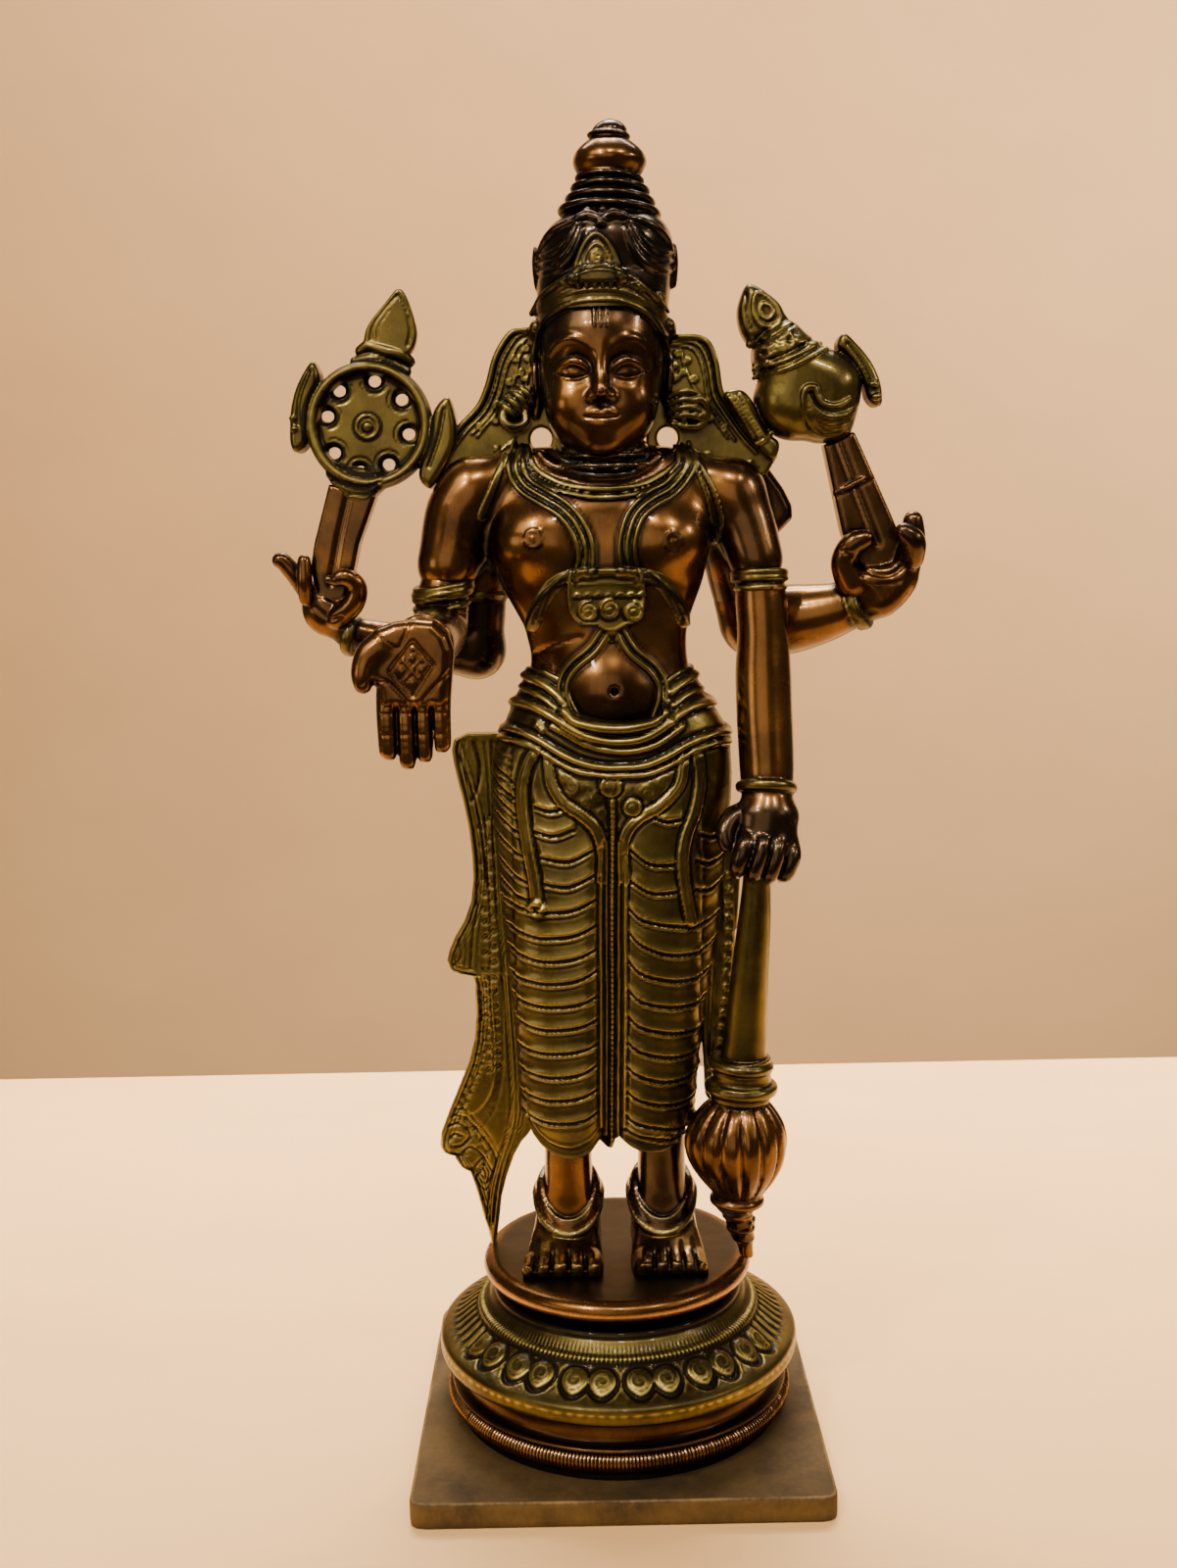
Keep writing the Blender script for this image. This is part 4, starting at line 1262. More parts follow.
def rightEarring(clay):  # strung
    clay.add(egg((28.6, 0.8, 364), (6.6, 4.8, 4.6)), 0.4, True)
    for i in range(4):
        clay.add(rope([(22.4, -2.2, 368.6 - 2.6 * i), (27.6, -4.4, 370.2 - 2.6 * i),
            (32.6, -3.8, 369.2 - 2.6 * i), (34.8, -2, 366.4 - 2.2 * i)], [0.9, 1.1, 1.1, 0.8]), 0.2, True)
    clay.add(rope([(29, -4.2, 366.6), (33.6, -4.6, 367.4), (35.6, -3, 363.2), (33.4, -3, 359),
        (28, -3.6, 358.6), (22.6, -2.4, 360.4)], [1.0, 1.2, 1.3, 1.2, 1.2, 0.9]), 0.2, True)
    for x in (24, 27.6, 31.2, 34):
        clay.add(egg((x, -3.6, 359.4 + 0.3 * (x - 24)), 1.3), 0.2, True)


wingSpecs = [{"name": "head_frame_left", "cell": 0.66, "low": (-64, -8, 337), "high": (-11, 13, 397),
    "middle": 6, "edge": [(-17, 393), (-25, 393), (-29.5, 392.8), (-33.6, 389.6), (-37.2, 383.2),
    (-39.6, 374.7), (-43, 367.4), (-49.6, 361), (-55, 354.4), (-58.4, 348), (-60.6, 342), (-54, 340.6),
    (-46, 341), (-38, 340), (-30, 340), (-22, 341), (-13, 344), (-13, 372), (-17, 380)],
    "opening": (-21, 356, 3.7, 3.9, 18),
    "rim": [(-25, 392.4), (-29.6, 391.8), (-32.8, 388.8), (-36.3, 382.6), (-38.8, 374.2), (-42.3, 366.9),
    (-48.8, 360.4), (-54.2, 353.8), (-57.6, 347.4), (-59.6, 343.2)],
    "lines": ((0, 8, 2.4, -1.2, 0.55), (1, 7, 4.2, -2.4, 0.5)),
    "coils": ((1.5, [(-26.2, 388), (-28.6, 380), (-31, 372), (-36.4, 364.6), (-43, 357)], 8, 1, 0.5, 0.15),
    (1.1, [(-24, 384), (-25, 377), (-26.4, 371)], 4, -1, 0.5, 0.15),
    (1.3, [(-30, 356), (-38, 350), (-46, 346.4), (-54, 345)], 6, 1, 0.45, 0.1)), "earring": leftEarring},
    {"name": "head_frame_right", "cell": 0.66, "low": (13, -8, 337), "high": (64, 13, 397), "middle": 6,
    "edge": [(19, 390), (26.7, 390), (33.4, 389.6), (37.6, 387.4), (40.2, 380), (41.6, 371.4), (45, 366),
    (50.6, 358), (56, 352), (60.4, 349), (56.4, 342.4), (48, 341), (40, 339.4), (32, 340), (24, 341),
    (15, 344), (15, 372), (19, 380)], "opening": (22.4, 355.6, 3.6, 3.7, 18),
    "rim": [(26.4, 389.2), (33, 388.8), (36.8, 386.4), (39.2, 379.8), (40.6, 371), (44, 365.2),
    (49.8, 357), (55, 351.4), (58.8, 348.4)], "lines": ((0, 8, -2.3, -1.5, 0.7), (0, 7, -4.3, -2.8, 0.55)),
    "coils": ((1.4, [(27, 385), (28.4, 379), (31.6, 372), (36.6, 364), (43, 355)], 8, -1, 0.5, 0.15),
    (1.1, [(24, 380), (25, 374)], 3, 1, 0.5, 0.15),
    (1.3, [(30, 352), (38, 347), (46, 344.6), (53, 345)], 6, -1, 0.45, 0.1)), "earring": rightEarring}]


def makeWing(spec):
    clay = Clay(spec)
    clay.add(slab(spec["edge"], 6, 2.1, 0.8, [circle(*spec["opening"])]), 0, True)
    clay.freeze()
    clay.strand(spec["rim"], 1.15, 0.2, 5)
    for first, last, dx, dz, radius in spec["lines"]:
        clay.strand([(x + dx, z + dz) for x, z in spec["rim"][first:last]], radius, 0.1, 5)
    for size, path, count, hand, radius, lift in spec["coils"]:
        for line in scrolls(path, size, count, hand, 1.4, 22):
            clay.strand(line, radius, lift, 1)
    spec["earring"](clay)
    return clay.mesh(lambda p: 0.35 * (p[:, 1] > 6.5))


# skirt with its belts

skirtSpec = {"name": "skirt_and_belts", "rows": 236, "front": 204, "back": 38}
skirtRows = np.array([(280, 1.0, 28.6, 16.2, 17), (274, 1.0, 30.2, 17.3, 18.2),
    (268, 1.2, 32.9, 18.6, 19.4), (262, 1.8, 36.4, 19.8, 20.8), (256, 2.3, 39.4, 20.8, 21.6),
    (250, 1.6, 41.2, 21.2, 22), (242, 1.2, 42, 21.6, 22), (236, 1.1, 42.1, 21.6, 22),
    (220, 0.8, 41.2, 21.2, 21.4), (203, 0.4, 39.8, 20.4, 20.4), (185, 0.1, 38.1, 19.4, 19.2),
    (168, -0.6, 36.2, 18.4, 18), (150, -1.2, 34, 17.2, 16.6), (132, -2.2, 32, 16.1, 15.5),
    (117, -3, 30.4, 15.2, 14.4), (110, -3, 29.2, 14.6, 13.8), (103, -2.6, 27, 13.8, 13),
    (96, -2.4, 25, 13, 12)], float)
topLine = [(-40, 278), (-29, 277.4), (-22, 275), (-17.6, 271.8), (-14.8, 267), (-11.6, 262.6),
    (-3.7, 260.6), (4.3, 260), (12.3, 261), (16.8, 262.2), (19.4, 267), (21.6, 271.8), (25.7, 274.6),
    (31, 276.6), (42, 277.4)]
hemLine = [(-36, 122), (-32, 119.5), (-30.4, 113.4), (-27.6, 109.6), (-24.4, 107), (-20.5, 105.6),
    (-16.5, 105.2), (-12.5, 106), (-8.5, 108), (-6.2, 110.4), (-4.9, 111.8), (-3.2, 109.6), (-2.2, 107.9),
    (-1, 107.2), (0.2, 107.8), (1.2, 109.6), (3, 112.4), (4.8, 111.2), (7.6, 109.4), (10.9, 108),
    (15, 107.1), (19.7, 106.8), (24.1, 108), (27, 110.6), (28.4, 115), (34, 118)]
leftFolds = [
    [(-41, 249), (-36, 243.5), (-32, 240)],
    [(-41, 243.6), (-36, 238), (-31.8, 234.6)],
    [(-41.2, 238), (-36, 232.4), (-31.6, 229)],
    [(-41, 231.4), (-35, 225.6), (-30, 222.4)],
    [(-40.4, 223.4), (-34, 217.4), (-28.6, 214.4)],
    [(-39.8, 215), (-33.6, 208.6), (-27.4, 205.6)],
    [(-39, 207), (-33, 201.6), (-26.6, 199.4)],
    [(-25.4, 232.6), (-20, 231), (-15, 232.4)],
    [(-26, 224.2), (-19, 222.6), (-12, 225)],
    [(-23.4, 215), (-14, 213.8), (-6, 217.6)],
    [(-22.6, 205.8), (-14, 205), (-5.6, 208.8)],
    [(-38.6, 200.4), (-35.5, 198.4), (-27, 196), (-18.9, 195.9), (-12, 197), (-5.1, 200.4)],
    [(-38, 191.6), (-34.4, 189.4), (-27, 187), (-20.8, 186.6), (-12, 187.9), (-5.3, 191.2)],
    [(-37, 183.2), (-34.4, 181.4), (-27, 178.8), (-20.2, 178.3), (-12, 179.6), (-5.4, 182.6)],
    [(-36.6, 174.2), (-33.8, 172), (-27, 170.6), (-20.3, 170.3), (-12, 171.6), (-5.1, 174.9)],
    [(-35.6, 165.8), (-33, 163.8), (-27, 162.2), (-20.5, 161.9), (-12, 162.9), (-5.3, 165.5)],
    [(-34.8, 157.6), (-32.4, 155.7), (-27, 153.8), (-20.7, 153.4), (-12, 154.6), (-5.4, 157)],
    [(-34.2, 148.4), (-32, 146.4), (-27, 145), (-20.9, 144.8), (-12, 145.8), (-5.6, 148.1)],
    [(-33.6, 139.8), (-31.8, 138), (-27, 136.4), (-20.2, 136), (-12, 137.2), (-5.8, 140.4)],
    [(-32.8, 131), (-30.9, 129.2), (-26, 127.8), (-20.4, 127.4), (-12, 128.6), (-5.9, 131.4)],
    [(-32.4, 124), (-30.8, 122.2), (-26, 119.8), (-20.6, 119), (-12, 119.8), (-6.1, 122.8)]]
rightFolds = [
    [(14.6, 228.6), (19, 226.8), (24.6, 227.4)],
    [(6.1, 218), (13.3, 212.4), (22.2, 211.8)],
    [(5.1, 207.6), (13.2, 202.4), (22.1, 202.2)],
    [(30.4, 222), (35, 220.4), (40.6, 222.4)],
    [(29, 212.8), (34, 211), (40, 213.4)],
    [(28.4, 202.6), (34, 201.6), (39.4, 205)],
    [(5.5, 197.4), (9.4, 193.4), (14.5, 191.5), (20, 190.4), (27, 189.4), (32, 190), (38, 193)],
    [(5.7, 188.5), (9.6, 184.2), (17, 180.6), (24, 179.6), (31, 180.2), (37.6, 184.6)],
    [(5.1, 178.6), (9.6, 173.8), (17.7, 171), (24, 170.2), (30.4, 171), (36.6, 174.4)],
    [(5, 168), (9.6, 163.6), (17.6, 161.4), (24, 160.8), (30, 161.6), (35.4, 165.2)],
    [(4.6, 158.6), (9, 154.4), (16.6, 152), (23, 151), (29, 151.4), (34.8, 154.2)],
    [(4.1, 149.2), (8.6, 145.4), (15.6, 143.1), (22, 142.2), (27.4, 143), (32.2, 146)],
    [(3.7, 140.2), (8, 136.6), (14.6, 134.1), (20, 133.4), (25, 134), (30, 137)],
    [(3.6, 131), (7.4, 127.8), (13.6, 125.5), (19, 124.6), (23.6, 124.8), (28.4, 127)],
    [(3.2, 122.2), (7, 118.8), (13.5, 116.8), (18, 115.6), (23, 115), (27.4, 117)],
    [(3.4, 116.4), (8, 114), (14, 112.4), (20, 111.6), (26, 113)]]
skirtRolls = [
    ([(-31, 277), (-28.3, 275.6), (-21.9, 273.1), (-17, 269.6), (-14.6, 266)], 1.5, 1.5),
    ([(21.2, 269.8), (25.7, 272.6), (31, 275)], 1.5, 1.5),
    ([(-32, 272.8), (-28, 271.2), (-22, 268.4), (-17.4, 264.6)], 1.1, 0.9),
    ([(22.4, 265.2), (26.6, 268.2), (33, 270.2)], 1.1, 0.9),
    ([(-14.4, 264), (-11.6, 260.8), (-3.7, 258.7), (4.3, 258.1), (12.3, 259.1), (16.4, 260.4),
        (18.6, 263)], 1.9, 2.3),
    ([(-36, 268.2), (-33.1, 267.1), (-25.9, 266), (-18, 261.7), (-11.7, 256.9), (-3.7, 253.6),
        (3.5, 252.7), (10.7, 253.7), (17.2, 257.1), (24.4, 262.6), (30.1, 264.9), (37, 265.2)], 1.7, 2.1),
    ([(-19, 258.6), (-14.8, 256.1), (-7.7, 251.6), (0.2, 249.2), (8.2, 249.2), (16.3, 251.8),
        (21.9, 255.6), (25, 258)], 1.2, 1.2),
    ([(-40, 258.4), (-37.3, 258), (-31.7, 257.6), (-24.5, 254.6), (-18.2, 250.1), (-10.3, 245.1),
        (-2.3, 242.5), (4.1, 242.4), (12.1, 243.8), (20.2, 247.7), (28.3, 252.4), (36.3, 254.8),
        (42, 254.6)], 1.35, 1.7),
    ([(-40, 254.6), (-32, 254), (-24.8, 251.2), (-18.6, 246.7), (-10.8, 241.8), (-2.3, 239.4),
        (4.1, 239.2), (12.6, 240.6), (20.6, 244.4), (28.6, 249.2), (36.3, 251.4), (42, 251.2)], 1.0, 1.2)]
swags = [
    [(-20.6, 249), (-20.2, 244), (-19, 238.5), (-15.2, 232.8), (-9.1, 228.4), (-4.6, 223.6), (-2.6, 216),
        (-2.9, 206)],
    [(25.4, 247.4), (24.6, 241), (22.6, 236.6), (16.8, 231.3), (9.5, 227.2), (5.2, 221.8), (4.1, 215),
        (4.6, 206)]]
ribbons = [
    [(-24.6, 251), (-27.6, 246), (-29.6, 238), (-29.2, 228), (-27.4, 216), (-25.6, 206), (-25, 199)],
    [(29.4, 251), (30.6, 245), (30.8, 237.4), (28.9, 228.5), (25.6, 220.4), (24.2, 211.3), (25.2, 200),
        (26.9, 190)]]
pleats = [
    ([(-3, 216), (-3.6, 190), (-3.9, 161), (-4.3, 135), (-4.5, 116)], 0.75, 0.9),
    ([(-1.2, 219), (-1.7, 190), (-1.9, 161), (-2.5, 135), (-2.9, 112)], 0.7, 0.7),
    ([(0.8, 236), (0.9, 222), (0.2, 190), (-0.1, 161), (-0.6, 130), (-1, 108)], 1.0, 1.3),
    ([(2.9, 219), (2.3, 190), (2, 161), (1.4, 135), (0.9, 112)], 0.7, 0.7),
    ([(5.2, 214), (4.6, 190), (4.2, 161), (3.6, 135), (3.2, 116)], 0.75, 0.9)]


def squarish(turn, power=2.35):  # directions round an oval with fuller corners
    return [np.sign(v) * np.abs(v) ** (2 / power) for v in (np.cos(turn), np.sin(turn))]


def makeSkirt():
    turn = np.linspace(0, 2 * math.pi, 4001)
    ux, uy = squarish(turn)
    run = np.concatenate([[0], np.cumsum(np.hypot(np.diff(ux * 36), np.diff(uy * 19)))])
    half = np.searchsorted(turn, math.pi)
    back = np.interp(np.linspace(run[0], run[half], skirtSpec["back"], endpoint=False), run, turn)
    front = np.interp(np.linspace(run[half], run[-1], skirtSpec["front"], endpoint=False), run, turn)
    ux, uy = squarish(np.concatenate([back, front]))
    facing = fade(-uy + 0.05, 0.2)[None, :]  # 1 over the front
    table = skirtRows[::-1]
    top = np.where(uy < 0, np.interp(38 * ux, *np.array(topLine).T), 277.4)
    hem = np.interp(34 * ux - 2, *np.array(hemLine).T)
    hem = np.where(uy < 0, hem, 106 + 12 * np.abs(ux) ** 6)
    share = np.linspace(0, 1, skirtSpec["rows"])[:, None]
    z = hem[None, :] + (top - hem)[None, :] * share
    at = [np.interp(z, table[:, 0], table[:, k]) for k in range(1, 5)]
    x = at[0] + at[1] * ux[None, :]
    y = np.where(uy[None, :] < 0, at[2], at[3]) * uy[None, :]

    low = fade(226 - z, 50)
    base = np.zeros(z.shape)
    middle = 0.4 - 1.4 * fade(220 - z, 100)
    for mx, w in ((-18.4, 15), (17 - 2.2 * fade(200 - z, 90), 14.6)):
        thigh = np.sqrt(np.clip(1 - ((x - mx) / w) ** 2, 0, 1))
        base += (1.2 + 1.4 * low) * thigh * facing * fade(246 - z, 30)
    base -= (0.8 + 3.2 * low) * bell(x - middle, 5.2) * facing * fade(236 - z, 14)
    base += 1.6 * np.exp(-((x - 2) / 22) ** 2 - ((z - 262) / 9) ** 2) * facing
    fine = np.zeros(z.shape)

    def fold(line, rise=1.25):
        p = smooth(line, 5)
        p = p[np.argsort(p[:, 0])]
        w = z - np.interp(x, p[:, 0], p[:, 1])
        ends = fade(x - p[0, 0] + 0.6, 1.2) * fade(p[-1, 0] + 0.6 - x, 1.2)
        up = np.where(w > 0, np.exp(-w / 2.6), 0) * (1 - fade(w, 8))
        step = rise * up + rise * 0.9 * np.where(w <= 0, np.clip(1 + w / 0.5, 0, 1), 0)
        dip = -0.75 * bell(w + 1.15, 0.55)
        second = 0.5 * bell(w + 2.2, 0.42) - 0.25 * bell(w + 3.1, 0.5)
        return (step + dip + second) * ends * facing

    for line in leftFolds + rightFolds:
        fine += fold(line, 0.7 if len(line) == 3 and line[0][0] < -38 else 1.25)
    panel = within([(-19, 246), (-10, 241), (2, 239), (12, 240), (24, 245), (21, 237), (15, 231.6),
        (7, 226), (1, 218), (-5, 225), (-14, 232.6), (-18, 239)], x, z)
    fine += 0.5 * fade(-panel, 1.2) * facing
    for cx, cz, r, hand in ((-12.6, 238.6, 2.6, 1), (-8, 233.4, 2.2, -1), (-4.2, 236, 2.2, 1),
            (-2.4, 229.6, 1.8, -1), (13, 236.2, 2.6, -1), (18.6, 239.6, 2.6, 1), (12.6, 231.6, 1.6, 1),
            (-15.6, 241.6, 1.9, -1), (4.4, 225.6, 1.4, 1)):
        gap = lineGap(spiral(cx, cz, r, 1.5, 40 * cx, hand, 24), x, z)
        fine += (0.3 * bell(gap, 0.5) - 0.08) * facing * (gap < 3)

    def lay(line, half, rise, ridges=0, keep=0.25):  # a roll or a ribbed band over what is there
        nonlocal fine
        gap = lineGap(smooth(line, 6), x, z) / half
        bump = rise * np.sqrt(np.clip(1 - gap ** (6 if ridges else 2), 0, 1))
        if ridges:
            bump = bump * (0.7 + 0.3 * np.abs(np.cos(gap * math.pi * ridges / 2)))
        bump = (bump - 0.45 * bell(gap * half - half - 0.5, 0.5)) * facing
        fine = np.where(gap < 1, fine * keep + bump, fine + bump)

    for line in ribbons:
        lay(line, 2.0, 1.3, 2)
    for line in swags:
        lay(line, 1.9, 1.4, 2)
    for line, half, rise in pleats:
        lay(line, half, rise)
    # the twisted cord in the middle
    cordX = np.interp(z, [108, 130, 161, 190, 236], [-1, -0.6, -0.1, 0.2, 0.8])
    fine += 0.35 * np.sin(z * 2 * math.pi / 1.9) * bell(x - cordX, 0.8) * facing * (z < 232)
    ring = np.hypot(x + 24.9, z - 196.2)
    fine += facing * np.where(ring < 3.4, 1.3 * np.sqrt(np.clip(1 - ((ring - 2.1) / 1.2) ** 2, 0, 1)), 0)
    for cx, cz, r in ((0.5, 238.7, 3.5), (7.6, 231.4, 2.8)):
        gap = np.hypot(x - cx, z - cz)
        boss = 1.3 * np.clip((r - gap) / 0.5 + 1, 0, 1) - 0.35 * bell(gap - r + 1, 0.35)
        fine = np.where(gap < r + 0.8, fine * 0.2, fine) + facing * (boss - 0.4 * bell(gap - r - 0.8, 0.5))
    for line, half, rise in skirtRolls:
        wraps = line[0][0] <= -36 and line[-1][0] >= 36
        # the lower ones are drawn up at the middle
        drop = np.clip((258 - min(b for _, b in line)) / 6, 0, 3.1)
        line = [(a, b + drop * math.exp(-(a / 18) ** 2)) for a, b in line]
        lay(line, half, rise, 0, 0.1)
        if wraps:
            ends = (line[0][1] + line[-1][1]) / 2 - 0.5
            gap = np.abs(z - ends) / half
            fine += rise * np.sqrt(np.clip(1 - gap ** 2, 0, 1)) * (1 - facing)
    for cx, cz in ((-22.4, 257.6), (21.6, 258.6), (20.4, 260.4), (-24, 259.4)):  # clasps on the belt
        fine += 1.1 * np.exp(-((x - cx) ** 2 + (z - cz) ** 2) / 1.6) * facing
    knot = lineGap([(-36.5, 251), (-37.4, 244), (-36.4, 237)], x, z)
    fine += 0.8 * np.clip(1 - (knot / 3.4) ** 2, 0, 1) * facing
    for i in range(7):
        line = [(-38.6, 252.4 - 2.7 * i), (-33.6, 249.8 - 2.7 * i)]
        fine -= 0.5 * bell(lineGap(line, x, z), 0.5) * facing
    hemRise = z - hem[None, :]
    border = 0.5 * bell(hemRise - 4.4, 0.5) - 0.3 * bell(hemRise - 3.5, 0.45)
    fine += facing * border * (np.abs(x + 0.6) > 4)
    fine += 0.6 * bell(hemRise, 0.8)
    for i in range(14):  # simpler folds behind
        level = 236 - 9 * i
        w = z - (level - 3 * np.cos(ux[None, :] * math.pi) * (1 - facing))
        step = 0.9 * np.where(w > 0, np.exp(-w / 2.4), np.clip(1 + w / 0.7, 0, 1))
        fine += (1 - facing) * (step - 0.4 * bell(w + 1.3, 0.6)) * (uy[None, :] > 0.1)
    fine -= 1.1 * bell(x, 2.6) * (uy[None, :] > 0.3) * (z < 238)

    height = base + fine
    nx = at[2] * ux[None, :]
    ny = at[1] * uy[None, :]
    size = np.hypot(nx, ny) + 1e-6
    px, py = x + height * nx / size, y + height * ny / size

    def turnedIn(row, steps):  # rings that lead inside from the hem or the top
        return np.array([np.stack([px[row] - inward * nx[row] / size[row],
            py[row] - inward * ny[row] / size[row], z[row] + rise], -1) for inward, rise in steps])

    inner = turnedIn(0, ((6, 9), (3.4, 4), (2.2, 0.9), (1.0, -0.25), (0.3, -0.3)))
    outer = turnedIn(-1, ((0.6, 0.5), (2, 0.4), (4, -2)))
    rings = np.concatenate([inner, np.stack([px, py, z], -1), outer])
    near, far = blurred(height, 2), blurred(height, 6)
    hollow = fade(near - height, 0.5) * 0.75 + fade(far - height, 1.2) * 0.5
    hollow = hollow * (1 - 0.4 * fade(z - 239, 3))
    edge = fade(height - blurred(height, 1), 0.34) * 0.55 + 0.2 * facing * fade(246 - z, 8)

    def full(values, padding):
        low, high = (np.full((len(rows), values.shape[1]), padding) for rows in (inner, outer))
        return np.vstack([low, values, high])

    side = fade(np.abs(x - at[0]) / at[1] - 0.93, 0.06) * 0.12
    layers = {"hollow": np.clip(full(hollow + side, 0.9), 0, 1), "edge": full(edge, 0), "brass": 1.0,
        "dull": 0.0}
    return gridMesh(skirtSpec, rings, layers)


# shawl on both sides

shawlSpec = {"name": "shawl_end", "rows": 300, "front": 46, "back": 10}
shawlLeft = [(-50, 254.6), (-54.4, 252.6), (-55.2, 249), (-54.6, 244), (-53.2, 237), (-51.6, 230),
    (-49.9, 220), (-49, 210), (-48.9, 202), (-50, 194), (-52.6, 187), (-56, 181.4), (-58.4, 176),
    (-59.2, 172.6), (-58.4, 169.8), (-56, 168.5), (-50.4, 167.4), (-49.5, 164), (-49.3, 152), (-50.2, 143),
    (-52.4, 134.6), (-56.4, 125), (-60.4, 115.6), (-63.4, 108), (-63.9, 103.6), (-62.6, 101.2),
    (-59.2, 100.2), (-58, 98), (-56.6, 95.6), (-53.4, 93.9), (-52, 89.6), (-50.4, 83.4), (-48.8, 76.6),
    (-47.4, 71.6), (-46.2, 66.2)]
shawlRight = [(-29, 254.6), (-29, 180), (-28, 140), (-28.4, 116), (-29.2, 111), (-30.8, 108), (-33.6, 105),
    (-36.6, 99.6), (-39.4, 92), (-41.6, 84), (-43, 74), (-44.2, 66.2)]


# an upright sheet between two edges, fine in front and plain behind
def sheetGrid(spec, left, right, middle, half, relief):
    left, right = (np.array(sorted(line, key=lambda p: p[1])) for line in (left, right))
    z = np.linspace(left[0, 1], left[-1, 1], spec["rows"])
    a, b = (np.interp(z, line[:, 1], line[:, 0])[:, None] for line in (left, right))
    level = z[:, None]
    rim = np.minimum(1.2, (b - a) * 0.35)
    turn = np.radians([80, 50, 20, -10, -40])  # the rounded edges
    bulge, deep = rim * np.cos(turn), half * np.sin(turn) / np.sin(turn[0])
    front = a + rim + (b - a - 2 * rim) * np.linspace(0, 1, spec["front"])
    back = b - rim - (b - a - 2 * rim) * np.linspace(0, 1, spec["back"])
    h = relief(front, level + 0 * front)
    h = h * fade(front - a, 1.0) * fade(b - front, 1.0)
    outline = ((front, middle - half - h), (b - rim + bulge, middle - deep + 0 * bulge),
        (back, middle + half + 0 * back), (a + rim - bulge[:, ::-1], middle - deep[::-1] + 0 * bulge))
    rings = np.concatenate([np.stack([x, y, level + 0 * x], -1) for x, y in outline], 1)
    near, far = blurred(h, 2, False), blurred(h, 5, False)

    def padded(values, rimValue):
        rims = np.full((len(z), len(turn)), rimValue)
        return np.concatenate([values, rims, np.zeros((len(z), spec["back"])), rims], 1)

    hollow = padded(fade(near - h, 0.5) * 0.6 + fade(far - h, 0.9) * 0.4, 0.0)
    edge = padded(fade(h - blurred(h, 1, False), 0.4), 0.35)
    return gridMesh(spec, rings, {"hollow": np.clip(hollow, 0, 1), "edge": np.clip(edge + 0.32, 0, 1),
        "brass": 1.0, "dull": 0.0})


